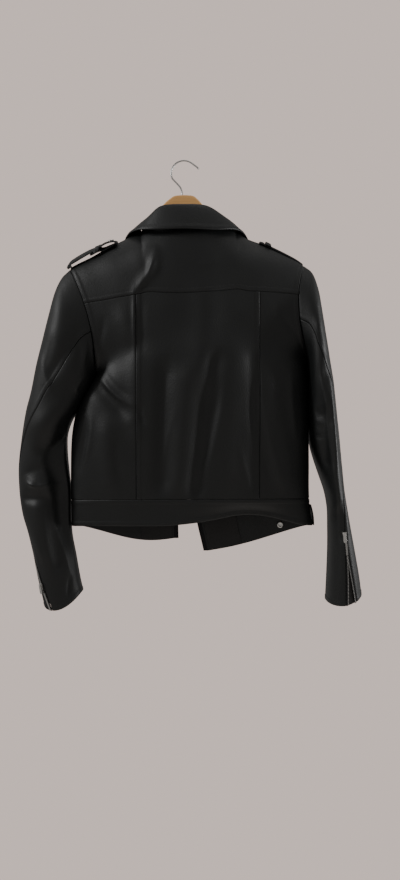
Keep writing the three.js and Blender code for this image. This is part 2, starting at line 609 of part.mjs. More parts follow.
// ---- sleeves -------------------------------------------------------------------------
const SLEEVE_STEPS = [
  0, 0.35, 0.75, 1.2, 1.7, 2.3, 2.9, 3.5, 4.1, 4.7, 5.3, 5.9, 6.5, 7.1, 7.7, 8.3, 8.9, 9.5, 10.1,
  10.8, 11.5, 12.2, 12.9, 13.6, 14.3, 15,
];
const UPPER_STEPS = 16;
const UNDER_STEPS = 8;
const SLEEVES = {
  l: { side: 'left', table: SLEEVE_LEFT, seams: SEAM_LEFT, out: -1 },
  r: { side: 'right', table: SLEEVE_RIGHT, seams: SEAM_RIGHT, out: 1 },
};

// Half a seam gap as turns of the sleeve.
const TURN_GAP = 0.0006;

// The upper sleeve runs from the front seam over the outer edge to the back seam.
function upperAt(sleeve, column, row) {
  const from = FRONT_SEAM - 1 + TURN_GAP;
  const to = lookStraight(sleeve.seams, row)[1] - TURN_GAP;
  return sleeveAt(sleeve.table, mix(from, to, column), row);
}

// The under sleeve runs from the back seam round the inner edge to the front seam.
function underAt(sleeve, column, row) {
  const from = lookStraight(sleeve.seams, row)[0] + TURN_GAP;
  return sleeveAt(sleeve.table, mix(from, FRONT_SEAM - TURN_GAP, column), row);
}

// Pins the first ring of a sleeve piece to the armhole seam, from step `first` on.
function pinSleeve(side, first) {
  return (i, j, across) => {
    if (j !== 0) return null;
    const k = (first + i + ARMHOLE_STEPS) % ARMHOLE_STEPS;
    const end = i === 0 || i === across - 1;
    const [point, behind] = holePoints(side, k, HALF_GAP);
    if (!end) return [point, behind];
    const step = i === 0 ? 1 : -1;
    const toward = holePoints(side, (k + step + ARMHOLE_STEPS) % ARMHOLE_STEPS, HALF_GAP)[0];
    const shift = unit(sub(toward, point));
    return [add(point, shift, HALF_GAP), add(behind, shift, HALF_GAP)];
  };
}

for (const [end, sleeve] of Object.entries(SLEEVES)) {
  const upper = wall((c, r) => upperAt(sleeve, c, r), steps(0, 1, UPPER_STEPS), SLEEVE_STEPS,
    LEATHER, sleeve.out, pinSleeve(sleeve.side, -9));
  const under = wall((c, r) => underAt(sleeve, c, r), steps(0, 1, UNDER_STEPS), SLEEVE_STEPS,
    LEATHER, sleeve.out, pinSleeve(sleeve.side, 7));
  piece(`sleeve_upper_${end}`, upper, leather(0x1a1a1c));
  piece(`sleeve_under_${end}`, under, leather(0x141416));
}

// ---- collar --------------------------------------------------------------------------
const FALL_STEPS = steps(0.03, 0.97, 26);
const STAND_STEPS = steps(0.22, 0.78, 20);
const STAND_LIFT = 1.1;

// The stand rises from the neck seam to just under the roll line.
function standAt(turn, up) {
  const foot = add(look(NECK_SEAM, turn), [0, 0, STAND_LIFT]);
  const head = add(look(ROLL_LINE, turn), [0, 0, -STAND_LIFT]);
  const lean = Math.sin(Math.PI * up) * 2.0;
  const middle = [3, 20, -110];
  const outward = unit([foot[0] - middle[0], foot[1] - middle[1], 0]);
  return add([mix(foot[0], head[0], up), mix(foot[1], head[1], up), mix(foot[2], head[2], up)],
    outward, -lean);
}

// The fall turns over the roll line and drops to its free edge.
function fallAt(turn, down) {
  const roll = look(ROLL_LINE, turn);
  const edge = look(FALL_EDGE, turn);
  const reach = sub(edge, roll);
  const crown = add(add(roll, reach, 0.25), [0, 0, -reach[2] * 0.25 + 1.2]);
  const a = (1 - down) * (1 - down);
  const b = 2 * down * (1 - down);
  const c = down * down;
  return [0, 1, 2].map((n) => a * roll[n] + b * crown[n] + c * edge[n]);
}

piece('collar_stand', wall(standAt, STAND_STEPS, steps(0, 1, 3), LEATHER, 1), leather(0x161618));
piece('collar_fall', wall(fallAt, FALL_STEPS, steps(0, 1, 5), LEATHER, -1), leather(0x1b1b1d));

// ---- pieces laid on the panels ---------------------------------------------------------
// A surface moved along its own normal by `shift`.
function moved(surface, box, shift, out) {
  return (c, r) => add(surface(c, r), normalAt(surface, c, r, box), shift * out);
}

const FULL_FRONT = [0, 1, 0.004, HEM_ROW];
const LAPEL_ROWS = steps(0, 1, 9);
const LAPEL_COLUMNS = steps(0, 1, 4);
const FACING_ROWS = [...FRONT_ROWS.filter((row) => row >= 0.5), 2.125, HEM_ROW - 0.006];
const FACING_COLUMNS = [0.765, 0.875, 0.985];

// The lapel folds back from the front's edge, wide at the gorge and closing at the break.
function lapelAt(front, column, row) {
  const bodyRow = mix(0.36 + 0.1 * column, 1.3, row);
  const width = 0.04 + 0.52 * Math.pow(1 - row, 0.85);
  return front(0.99 - width * column, bodyRow);
}

for (const side of ['left', 'right']) {
  const end = side === 'left' ? 'l' : 'r';
  const out = side === 'left' ? 1 : -1;
  const front = (c, r) => frontAt(side, c, r);
  const raised = moved(front, FULL_FRONT, LEATHER + PLY_GAP, out);
  const lapel = (c, r) => lapelAt(raised, c, r);
  piece(`lapel_${end}`, wall(lapel, LAPEL_COLUMNS, LAPEL_ROWS, LEATHER, -out), leather(0x1b1b1d));
  const lowered = moved(front, FULL_FRONT, -(LEATHER + PLY_GAP * 2), out);
  piece(`facing_${end}`, wall(lowered, FACING_COLUMNS, FACING_ROWS, 1.0, out), leather(0x1c1c1e));
}

// Zip tapes of the front opening, side by side with the front's edge: column 0 to 1 across.
const FRONT_TAPE_ROWS = steps(1.34, HEM_ROW, 10);

function frontTapeAt(side, column, row) {
  const edge = look(side === 'left' ? EDGE_LEFT : EDGE_RIGHT, row);
  const way = side === 'left' ? 1 : -1;
  return [edge[0] + way * mix(PLY_GAP, 7.5, column), edge[1] - 0.2, edge[2]];
}

for (const side of ['left', 'right']) {
  const end = side === 'left' ? 'l' : 'r';
  const out = side === 'left' ? 1 : -1;
  const tape = wall((c, r) => frontTapeAt(side, c, r), [0, 1], FRONT_TAPE_ROWS, TAPE, out);
  piece(`front_zip_tape_${end}`, tape, fabric());
}

// Cuff zips: a closed one on the left, an open one over a gusset on the right.
const CUFF_BOX = [-1, 2, 0, SLEEVE_ROWS];

function cuffStrip(sleeve, from, to, column, row) {
  const [under, upper] = lookStraight(sleeve.seams, row);
  const gap = under - upper;
  const start = from >= 0 ? upper + Math.min(from, gap * 0.46) : under + Math.max(from, -gap * 0.46);
  const stop = to >= 0 ? upper + Math.min(to, gap * 0.46) : under + Math.max(to, -gap * 0.46);
  return sleeveAt(sleeve.table, mix(start, stop, column), row);
}

const closedZip = (c, r) => cuffStrip(SLEEVES.l, 0.003, -0.003, c, r);
piece('cuff_zip_tape_l', wall(closedZip, [0, 1], steps(13.6, 15, 2), TAPE, -1), fabric());
const openRows = steps(12.9, 15, 3);
const outerTeeth = (c, r) => cuffStrip(SLEEVES.r, 0.003, 0.022, c, r);
const innerTeeth = (c, r) => cuffStrip(SLEEVES.r, -0.022, -0.003, c, r);
piece('cuff_zip_tape_r_outer', wall(outerTeeth, [0, 1], openRows, TAPE, 1), fabric());
piece('cuff_zip_tape_r_inner', wall(innerTeeth, [0, 1], openRows, TAPE, 1), fabric());

function gussetAt(column, row) {
  const [under, upper] = lookStraight(SEAM_RIGHT, row);
  return sleeveAt(SLEEVE_RIGHT, mix(upper - 0.012, under + 0.012, column), row);
}

const gusset = moved(gussetAt, [0, 1, 12, 15], -(LEATHER + PLY_GAP * 2), 1);
piece('cuff_gusset_r', wall(gusset, steps(0, 1, 3), openRows, 1.0, 1), leather(0x121214));

// ---- epaulets ------------------------------------------------------------------------
// A strap follows its centre line and falls off towards the back and the front of the shoulder.
function strapAt(epaulet, step, y) {
  const [x, z, droop] = look(epaulet.table, step);
  const behind = Math.pow(Math.max(0, -y) / STRAP_HALF, 1.6);
  const ahead = Math.pow(Math.max(0, y) / STRAP_HALF, 2);
  return [x, y, z + epaulet.tilt * y - droop * behind - epaulet.fall * ahead];
}

// A keeper loop bridges the strap and turns down beside it.
function keeperAt(epaulet, column, turn) {
  const { back, front, keeper, slack, hang } = epaulet;
  const swing = -Math.cos(Math.PI * turn);
  const y = (back + front) / 2 + ((front - back) / 2 + 3.2) * swing;
  const [x, , z] = strapAt(epaulet, keeper + mix(-0.45, 0.45, column), clamp(y, back, front));
  const lift = LEATHER + PLY_GAP * 2.2 + slack * (1 - swing * swing);
  return [x, y, z + lift - hang * Math.pow(Math.abs(swing), 30)];
}

function button(radius, height) {
  const profile = [
    [0, 0], [radius, 0], [radius, height * 0.6], [radius * 0.8, height], [0, height * 0.8],
  ];
  return new THREE.LatheGeometry(profile.map(([r, y]) => new THREE.Vector2(r, y)), 16);
}

for (const [end, epaulet] of Object.entries(EPAULETS)) {
  const { table, thick, snap, snapY, back, front, out } = epaulet;
  const last = table.at(-1)[0];
  const surface = (c, r) => strapAt(epaulet, c, r);
  const strap = wall(surface, steps(0, last, last * 3), steps(back, front, 6), thick, out);
  piece(`epaulet_${end}`, strap, leather(0x1c1c1e));
  const loop = wall((c, r) => keeperAt(epaulet, c, r), [0, 0.5, 1], steps(0, 1, 14), LEATHER, out);
  piece(`epaulet_keeper_${end}`, loop, leather(0x19191b));
  const up = normalAt(surface, snap, snapY, [0, last, back, front]).map((n) => n * out);
  const cap = piece(`epaulet_snap_${end}`, button(5.2, 2.0), steel());
  cap.quaternion.setFromUnitVectors(new THREE.Vector3(0, 1, 0), new THREE.Vector3(...up));
  cap.position.set(...add(surface(snap, snapY), up, PLY_GAP * 1.5));
}

// ---- hem trims -----------------------------------------------------------------------
// A strap that bows off the side seam at the hem.
function sideTabAt(column, row) {
  const bow = 1.0 + 2.2 * Math.sin(Math.PI * row);
  return [215 + (row - 0.5) * 5 + bow, mix(-11, 11, column), mix(-583, -617, row)];
}

piece('side_tab_r', wall(sideTabAt, [0, 1], steps(0, 1, 8), 2.0, 1),
  leather(0x1b1b1d));

const hemSnap = piece('hem_snap_r', button(5.4, 2.0), steel());
const snapSeat = frontAt('right', 0.445, 2.185);
hemSnap.position.set(snapSeat[0], snapSeat[1] - LEATHER - PLY_GAP * 6, snapSeat[2]);
hemSnap.rotation.x = Math.PI;

// ---- hanger --------------------------------------------------------------------------
const wasm = await Module();
wasm.setup();

function solid(geometry) {
  const bare = geometry.index ? geometry.toNonIndexed() : geometry.clone();
  bare.deleteAttribute('normal');
  bare.deleteAttribute('uv');
  const merged = mergeVertices(bare, 1e-3);
  const vertProperties = merged.attributes.position.array;
  const triVerts = new Uint32Array(merged.index.array);
  return new wasm.Manifold(new wasm.Mesh({ numProp: 3, vertProperties, triVerts }));
}

function geometryOf(manifold) {
  const mesh = manifold.getMesh();
  const geometry = new THREE.BufferGeometry();
  const flat = [];
  for (let v = 0; v < mesh.numVert; v += 1) {
    const at = v * mesh.numProp;
    flat.push(...mesh.vertProperties.subarray(at, at + 3));
  }
  geometry.setAttribute('position', new THREE.Float32BufferAttribute(flat, 3));
  geometry.setIndex(Array.from(mesh.triVerts));
  geometry.computeVertexNormals();
  return geometry;
}

const outline = new THREE.Shape([...HANGER_TOP, ...HANGER_BELOW].map(([x, z]) => new THREE.Vector2(x, z)));
const board = new THREE.ExtrudeGeometry(outline, { depth: WOOD_THICK, bevelEnabled: false });
board.rotateX(Math.PI / 2);
board.translate(0, WOOD_THICK / 2, 0);
const stemX = HOOK_TAIL.at(-1)[0];
const drill = new THREE.CylinderGeometry(WIRE_RADIUS + SEAM_GAP, WIRE_RADIUS + SEAM_GAP, 26, 16);
drill.rotateX(Math.PI / 2);
drill.translate(stemX, 0, HOOK_TAIL.at(-1)[1] - SEAM_GAP + 13);
piece('hanger_wood', geometryOf(solid(board).subtract(solid(drill))), wood());

const hookPoints = HOOK_TIP.map(([x, z]) => new THREE.Vector3(x, 0, z));
for (const degrees of steps(52, 192, 8)) {
  const angle = (degrees * Math.PI) / 180;
  const x = Math.cos(angle) * HOOK_RADIUS;
  const z = Math.sin(angle) * HOOK_RADIUS + WIRE_RADIUS - HOOK_RADIUS;
  hookPoints.push(new THREE.Vector3(x, 0, z));
}
for (const [x, z] of HOOK_TAIL) hookPoints.push(new THREE.Vector3(x, 0, z));
const wireSection = new THREE.Shape();
wireSection.absarc(0, 0, WIRE_RADIUS, 0, Math.PI * 2);
const hook = new THREE.ExtrudeGeometry(wireSection, {
  steps: 48, curveSegments: 5, extrudePath: new THREE.CatmullRomCurve3(hookPoints),
});
piece('hanger_hook', hook, steel());

// ---- zip sliders ---------------------------------------------------------------------
const SLIDER = { wide: 7, deep: 2.6, tall: 9 };
const PULL = { wide: 5.2, deep: 1.2, long: 15 };

function pullGeometry() {
  const half = PULL.wide / 2;
  const shape = new THREE.Shape();
  shape.moveTo(half * 0.6, 0.6);
  shape.lineTo(-half * 0.6, 0.6);
  shape.lineTo(-half, -PULL.long + 3);
  shape.lineTo(-half * 0.5, -PULL.long);
  shape.lineTo(half * 0.5, -PULL.long);
  shape.lineTo(half, -PULL.long + 3);
  const hole = new THREE.Path();
  hole.absarc(0, -PULL.long + 4, 1.1, 0, Math.PI * 2, true);
  shape.holes.push(hole);
  const options = { depth: PULL.deep, bevelEnabled: false, curveSegments: 5 };
  const geometry = new THREE.ExtrudeGeometry(shape, options);
  geometry.translate(0, 0, -PULL.deep / 2);
  return geometry;
}

// Places a slider and its pull tab on a point, with `outward` off the cloth and `down` along it.
function zipSlider(name, point, outward, down) {
  const up = unit(add([0, 0, 0], down, -1));
  const side = unit(cross(up, outward));
  const basis = new THREE.Matrix4().makeBasis(
    new THREE.Vector3(...side), new THREE.Vector3(...up), new THREE.Vector3(...outward));
  const body = piece(`${name}_slider`, new THREE.BoxGeometry(SLIDER.wide, SLIDER.tall, SLIDER.deep), steel());
  const pull = piece(`${name}_pull`, pullGeometry(), steel());
  const seat = add(point, outward, 0.9 + SLIDER.deep / 2);
  const hinge = add(add(point, outward, 1.3 + SLIDER.deep + PULL.deep / 2), up, SLIDER.tall / 2 - 2);
  for (const [mesh, at] of [[body, seat], [pull, hinge]]) {
    mesh.quaternion.setFromRotationMatrix(basis);
    mesh.position.set(...at);
  }
  return { hinge, side };
}

function onSleeve(sleeve, turn, row) {
  const surface = (c, r) => sleeveAt(sleeve.table, c, r);
  const point = surface(turn, row);
  const outward = add([0, 0, 0], normalAt(surface, turn, row, CUFF_BOX), sleeve.out);
  const down = unit(sub(surface(turn, row + 0.2), surface(turn, row - 0.2)));
  return [point, outward, down];
}

const cuffLeft = lookStraight(SEAM_LEFT, 14.1);
zipSlider('cuff_zip_l', ...onSleeve(SLEEVES.l, (cuffLeft[0] + cuffLeft[1]) / 2, 14.1));
zipSlider('cuff_zip_r', ...onSleeve(SLEEVES.r, 0.244, 12.0));
zipSlider('front_zip', add(frontTapeAt('left', 0.6, 2.19), [0, 0.1, 0]), [0, 1, 0], [0, 0, -1]);

export default jacket;
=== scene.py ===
import math

import bpy
import numpy as np
from mathutils import Matrix, Vector


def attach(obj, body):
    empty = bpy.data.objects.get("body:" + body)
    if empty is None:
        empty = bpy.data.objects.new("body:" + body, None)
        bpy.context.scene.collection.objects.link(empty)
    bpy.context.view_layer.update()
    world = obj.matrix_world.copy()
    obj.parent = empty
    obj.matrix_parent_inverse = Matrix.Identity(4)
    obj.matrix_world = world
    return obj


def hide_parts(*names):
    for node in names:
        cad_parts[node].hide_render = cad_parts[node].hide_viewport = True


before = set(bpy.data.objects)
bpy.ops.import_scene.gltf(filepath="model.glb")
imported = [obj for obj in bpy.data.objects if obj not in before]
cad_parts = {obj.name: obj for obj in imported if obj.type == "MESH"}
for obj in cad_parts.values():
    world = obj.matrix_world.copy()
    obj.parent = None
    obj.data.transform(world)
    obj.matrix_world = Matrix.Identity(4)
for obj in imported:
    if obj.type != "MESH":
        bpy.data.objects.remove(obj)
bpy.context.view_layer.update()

# Leather biker jacket on a wooden hanger. Tables are in millimetres, meshes in metres.
# Left and right are those of the photo, which shows the back. The back faces -Y, and +Z is up.
# A point of the body lies at a share across, 0 to 1, and a row: 0 is the shoulder, 1 the
# armpit, BAND_ROW the seam of the hem band and HEM_ROW the hem.
MM = 0.001
LEATHER = 1.4
PLY_GAP = 0.4
YOKE_ROW = 5 / 12
YOKE_DIP = 12
BAND_ROW = 2.0
HEM_ROW = 2.25
FIRST_ROW = 0.004
SEAM_GAP = 0.0001
FINE_STEP = 2.4
FRONT_STEP = 3.2

# ---- form tables, as in the solids apart from a few points of the collar and the fine creases
# Top of the shoulders and the neck: x, z.
TOP_LINE = [
    (-193, -184.5), (-187, -178), (-157, -162.5), (-140, -152.5), (-126, -144.5),
    (-115, -139.5), (-100, -132), (-72, -117.5), (-40, -121), (8, -124), (56, -122),
    (88, -118.5), (107, -131), (135, -141.3), (155, -150.4), (174, -160), (190, -168.8),
    (202.3, -178),
]
NECK = (-72, 88)

# Side seams: row, left x, left z, right x, right z.
BODY = [
    (0, -193, -184.5, 202.3, -178), (0.5, -170, -272, 205, -254),
    (1, -148.4, -359.6, 209.1, -330.7), (1.1, -158.8, -383, 209.7, -355),
    (1.22, -172.7, -407.5, 210, -384), (1.29, -179.4, -423, 210.2, -401.5),
    (1.35, -184.6, -437, 210.4, -416), (1.5, -189.5, -470, 210.8, -452),
    (1.75, -191, -523, 211.2, -512),
    (2, -190.8, -575, 211.8, -572), (2.25, -190, -619, 218, -618),
]
LEFT_TIP = BODY[0][1:3]
RIGHT_TIP = BODY[0][3:5]
# Centre of the back: row, depth, lift.
BACK_CENTRE = [
    (0, 44, 0), (0.1, 50, 0), (0.25, 55, 0), (0.42, 59, 0), (0.7, 62, 0), (1, 64, 0),
    (1.5, 58, 0), (1.75, 54, 0), (2, 50, 3), (2.25, 49, 0),
]
# How far the hem of the back is drawn up and in: share across, lift.
HEM_LIFT = [
    (0, 0), (0.24, 3), (0.35, 3.5), (0.44, 4.5), (0.51, 8.7), (0.565, 14.3), (0.615, 20),
    (0.665, 20.8), (0.7, 18.9), (0.735, 15.4), (0.77, 11), (0.85, 3.6), (1, 0),
]
HEM_TURN = 0.5
# Front edges: row, x, y, z.
EDGE_LEFT = [
    (0, -72, 0, -118), (0.15, -66, 20, -136), (0.3, -58, 33, -162), (0.5, -47, 40, -205),
    (0.75, -36, 43, -265), (1, -27, 44, -330), (1.25, -22, 44.5, -392),
    (1.5, -20, 44.5, -455), (1.75, -19, 44.5, -520), (2, -19, 44.5, -588),
    (2.25, -18, 44.5, -646),
]
EDGE_RIGHT = [
    (0, 88, 0, -119.5), (0.15, 82, 20, -137), (0.3, 74, 33, -163), (0.5, 62, 40, -205),
    (0.75, 48, 43, -262), (1, 36, 44, -325), (1.25, 29, 44.5, -390), (1.5, 24, 44.5, -455),
    (1.75, 22, 44.5, -522), (2, 26, 44.5, -598), (2.25, 41, 44.5, -668),
]
EDGES = {"left": EDGE_LEFT, "right": EDGE_RIGHT}
FRONT_SAG = {"left": 12, "right": 5}

# Sleeves: row, outer x, outer z, inner x, inner z, back depth, front depth, bow, cuff sag.
SLEEVE_LEFT = [
    (0, -193, -184.5, -148.4, -359.6, 42, 36, 14, 0),
    (1, -207.4, -199.8, -153.9, -369.8, 47, 39, 8, 0),
    (2, -217.6, -223.6, -160.2, -384.3, 50, 41, 4, 0),
    (3, -227.8, -262.7, -170.3, -402.1, 50, 42, 2, 0),
    (4, -238, -303.5, -180.9, -421.8, 48, 42, 0, 0),
    (5, -248.2, -344.3, -193.5, -444.6, 46, 42, 0, 0),
    (6, -257.6, -390.2, -198.6, -468.4, 44, 40, 0, 0),
    (7, -266.9, -425.9, -198.2, -499, 40, 38, 0, 0),
    (8, -274.6, -473.5, -195.4, -526.2, 36, 35, 0, 0),
    (9, -278.8, -517.7, -192.6, -555.1, 33, 33, 0, 0),
    (10, -278.3, -558.5, -192.2, -580.6, 32, 32, 0, 0),
    (11, -272.9, -597.6, -191.8, -609.5, 32, 32, 0, 0),
    (12, -263.5, -629.9, -189.6, -636.7, 31, 31, 0, 0),
    (13, -253.3, -670.7, -183.4, -669, 31, 31, 0, 1),
    (14, -245.7, -711.5, -177.7, -701.6, 30, 31, 0, 6),
    (15, -235.5, -754, -171.7, -729.6, 30, 31, 0, 13),
]
SLEEVE_RIGHT = [
    (0, 202.3, -178, 209.1, -330.7, 42, 36, -16, 0),
    (1, 216.8, -190.5, 210.5, -347.7, 50, 40, -8, 0),
    (2, 225.2, -215.1, 210.7, -366.4, 55, 42, -4, 0),
    (3, 230.6, -245.7, 210.9, -385.1, 58, 43, -2, 0),
    (4, 236.4, -286.5, 211, -405.5, 60, 44, 0, 0),
    (5, 242.3, -323.9, 211.3, -429.3, 61, 44, 0, 0),
    (6, 250, -371.5, 211.9, -456.5, 61, 44, 0, 0),
    (7, 254.7, -422.5, 214.4, -483.7, 60, 44, 0, 0),
    (8, 260.2, -470.1, 220.9, -507.5, 57, 44, 0, 0),
    (9, 264.6, -517.7, 230.4, -534.7, 55, 43, 0, 0),
    (10, 268.7, -558.5, 239.7, -561.9, 53, 42, 0, 0),
    (11, 275.2, -595.9, 244.5, -589.1, 51, 42, 0, 0),
    (12, 282.2, -633.3, 245.1, -623.1, 49, 42, 0, 0),
    (13, 289, -669, 244.8, -657.1, 48, 41, 0, 1),
    (14, 294.9, -701.3, 243.1, -699.9, 47, 40, 0, 3),
    (15, 299.2, -731.9, 240.9, -746, 46, 40, 0, 6),
]
# Sleeve seams as turns from the outer edge: row, under side, upper side.
SEAM_LEFT = [
    (0, 7 / 24, 7 / 24), (2, 0.282, 0.282), (3.5, 0.266, 0.266), (4.6, 0.25, 0.25),
    (5.7, 0.208, 0.208), (7, 0.148, 0.148), (8, 0.091, 0.091), (9.6, 0.02, 0.02),
    (11.5, 0.015, 0.015), (12.9, 0.035, 0.035), (13.6, 0.105, 0.069), (15, 0.176, 0.14),
]
SEAM_RIGHT = [
    (0, 7 / 24, 7 / 24), (3, 0.25, 0.25), (4.6, 0.2, 0.2), (5.7, 0.148, 0.148),
    (7, 0.105, 0.105), (8, 0.095, 0.095), (9, 0.131, 0.131), (10.5, 0.198, 0.198),
    (12.2, 0.248, 0.248), (12.9, 0.262, 0.226), (15, 0.27, 0.162),
]
FRONT_SEAM = 15 / 24
# The back of each sleeve tucks in beside a long fold: row, share across at the fold, depth.
TUCK_LEFT = [
    (5, 0.88, 0), (6, 0.82, 5), (7, 0.69, 11), (8, 0.52, 13), (9, 0.62, 13), (10, 0.68, 12),
    (11, 0.7, 11), (12, 0.75, 8), (13, 0.82, 4), (14, 0.9, 0),
]
TUCK_RIGHT = [
    (3.5, 0.6, 0), (5, 0.55, 5), (6, 0.5, 9), (7, 0.5, 9), (8, 0.55, 6), (9, 0.6, 2), (10, 0.6, 0),
]

# Large folds, shared with the solids: x and z of both ends, width, height.
BACK_FOLDS = [
    (-102, -258, -82, -318, 17, 5), (-80, -330, -78, -480, 12, 2.5),
    (38, -200, 36, -400, 26, 5), (-30, -345, -34, -560, 15, -6.5),
    (10, -350, -8, -565, 17, 4), (52, -330, 18, -570, 14, -6.5),
    (86, -300, 70, -560, 22, 4), (-146, -378, -92, -436, 13, -6),
    (136, -360, 170, -560, 20, 5), (112, -330, 118, -560, 10, -3),
    (-128, -440, -120, -565, 16, 4),
]
FRONT_FOLDS = [
    (-120, -250, -90, -420, 20, 3), (-108, -380, -114, -560, 13, -4),
    (-148, -470, -142, -600, 13, -3.5), (128, -380, 134, -590, 14, -4),
    (140, -260, 120, -430, 20, 3), (160, -460, 168, -600, 16, -4),
]
SLEEVE_FOLDS = [
    (-176, -440, -236, -500, 13, -9), (-176, -408, -252, -462, 20, 6),
    (-262, -542, -222, -552, 10, 5), (-270, -570, -226, -572, 9, -5),
    (-243, -560, -240, -680, 15, 4.5), (-218, -560, -206, -690, 11, -6),
    (-200, -230, -214, -330, 22, 5), (-168, -300, -222, -372, 12, -4),
    (236, -368, 246, -440, 9, 4.5), (246, -440, 252, -590, 8, 4.5),
    (232, -420, 236, -520, 8, -4.5), (222, -270, 230, -360, 12, 4),
    (258, -575, 262, -640, 7, -3.5),
]
# Finer creases laid over them: x and z of both ends, width, height, sideways bend.
BACK_CREASES = [
    (-44, -162, -82, -234, 8, 6.6, -7), (-62, -176, -70, -236, 7, -2.2, -5),
    (-81, -226, -80, -336, 3.4, 2.4, 0), (-66, -240, -66, -330, 6, -1.4, 1),
    (-137, -371, -82, -419, 3.2, 4, 5), (-132, -358, -84, -404, 6, -2.4, 5),
    (-70, -415, -64, -450, 5, -2.6, 3), (-22, -335, -38, -500, 8, -1.5, 4),
    (60, -365, 20, -540, 7, -1.6, -6), (-12, -420, -36, -545, 5, 0.9, 4),
    (66, -390, 40, -520, 5, 0.9, -3), (128, -390, 168, -562, 5, 1.8, 5),
    (112, -400, 148, -556, 8, -1.6, 5), (120, -320, 126, -400, 3.2, -1.8, 2),
    (92, -480, 112, -560, 6, 1.4, 2), (-110, -470, -104, -540, 7, -1.6, 3),
    (-152, -430, -168, -520, 5, 2, -4), (-160, -440, -176, -530, 6, -2.4, -4),
    (150, -250, 190, -300, 8, -1.8, 4), (-130, -270, -150, -330, 7, -1.8, -4),
    (20, -190, 64, -176, 8, 1.2, 3), (176, -360, 186, -470, 6, 1.8, 2),
]
FRONT_CREASES = [
    (-130, -300, -96, -400, 7, 2, 6), (-150, -400, -100, -440, 6, -2.2, 4),
    (-80, -470, -70, -590, 6, 1.8, -3), (-124, -500, -118, -600, 5, -1.8, 2),
    (96, -330, 140, -420, 6, 2, -5), (190, -380, 130, -440, 6, -2.4, 5),
    (84, -480, 92, -600, 6, 1.8, 3), (150, -500, 146, -610, 5, -1.8, -2),
    (-60, -250, -74, -330, 6, -1.2, 3), (90, -240, 100, -320, 6, -1.2, -3),
]
SLEEVE_CREASES = [
    (-262, -543, -243, -551, 2.4, 3.2, 1), (-243, -551, -206, -546, 2.4, 2.6, -1),
    (-268, -532, -214, -520, 7, -1.6, -4), (-178, -452, -230, -496, 5, -3, 3),
    (-165, -372, -178, -396, 3.2, 2.4, 2), (-158, -300, -166, -352, 5, 2.6, -2),
    (-170, -318, -178, -360, 4, -2, -2), (-232, -604, -216, -690, 6, 2.2, 3),
    (-190, -700, -192, -738, 3, -2.6, 1), (-254, -640, -236, -700, 6, -1.6, -3),
    (-236, -330, -214, -400, 7, 1.6, 3), (-214, -300, -230, -360, 8, -1.6, -3),
    (240, -372, 252, -520, 4.2, 3.6, 1), (216, -420, 230, -436, 4, -1.6, 2),
    (214, -440, 230, -450, 3.4, 1.6, -2), (216, -462, 230, -470, 4, -1.4, 2),
    (240, -350, 256, -470, 5, 2.2, -2),
    (224, -330, 240, -400, 6, -1.8, 3), (262, -500, 268, -600, 6, 1.6, 0),
    (248, -560, 254, -700, 5, -1.6, 2), (232, -300, 240, -340, 6, 1.6, 1),
]

# Collar: turn, x, y, z.
ROLL_LINE = [
    (0, -62, 37, -158), (0.1, -73, 24, -131), (0.2, -71.5, 4, -109.5), (0.3, -54, -20, -98),
    (0.4, -36, -35, -86.2), (0.5, 3, -41, -85.3), (0.6, 37, -35, -85.9), (0.7, 61, -20, -96.6),
    (0.8, 80.5, 4, -108), (0.9, 81, 24, -130.5), (1, 68, 37, -158),
]
FALL_EDGE = [
    (0, -104, 41.5, -172), (0.1, -108, 29, -148), (0.2, -99, 2, -127.5),
    (0.3, -79, -29, -124.5), (0.4, -48, -49, -129), (0.5, 3, -58, -130),
    (0.6, 54, -49, -129.5), (0.7, 88, -29, -123.5), (0.8, 107, 3, -127),
    (0.9, 117, 29, -148), (1, 110, 41.5, -172),
]
NECK_SEAM = [
    (0, -61, 31, -157), (0.1, -67.5, 16, -132), (0.2, -70.5, -5, -118),
    (0.3, -56.5, -29, -121.5), (0.4, -28, -41, -122.8), (0.5, 8, -44.5, -123.6),
    (0.6, 44, -41, -122.8), (0.7, 72.5, -29, -121), (0.8, 86, -5, -118.5),
    (0.9, 83, 16, -133), (1, 77, 31, -157),
]

# Epaulet straps: step, x, z of the centre line and droop of the back edge. The left one arches
# off the shoulder at its end, where it folds back under itself.
EPAULET_LEFT = [
    (0, -193.5, -181.5, 2), (1, -195.6, -175.5, 5), (2, -192.5, -169.3, 7), (3, -184, -163.2, 8),
    (4, -172, -156, 8), (5, -158, -148.9, 7), (6, -146, -145, 5), (7, -137.5, -140, 2),
    (8, -130, -136.9, 1), (9, -122.5, -135.5, 1), (10, -117.2, -135.2, 1), (11, -113.6, -137.3, 2),
    (12, -117, -139.9, 3), (13, -126, -143.6, 5), (14, -134, -146.9, 6), (15, -141.5, -147.8, 6),
    (16, -150, -150.6, 7), (17, -157, -153.4, 7.5),
]
EPAULET_RIGHT = [
    (0, 201, -174.6, 9.7), (1, 190, -166.9, 9.7), (2, 174, -158.1, 9.7), (3, 155, -148.6, 9.7),
    (4, 143, -143, 9.7), (5, 134.5, -139.3, 9.7), (6, 128, -136.8, 9.7),
]
EPAULETS = {
    "l": {
        "table": EPAULET_LEFT, "back": -18, "front": 14, "tilt": 0.25, "fall": 0, "thick": 1.6, "out": 1,
        "keeper": 6, "slack": 0, "hang": 7, "snap": 8.8, "snap_y": -2, "long": 155,
    },
    "r": {
        "table": EPAULET_RIGHT, "back": -10, "front": 24, "tilt": 0, "fall": 5.5, "thick": 1.4, "out": -1,
        "keeper": 4, "slack": 3.2, "hang": 2.2, "snap": 5.3, "snap_y": 6, "long": 84,
    },
}
STRAP_HALF = 18

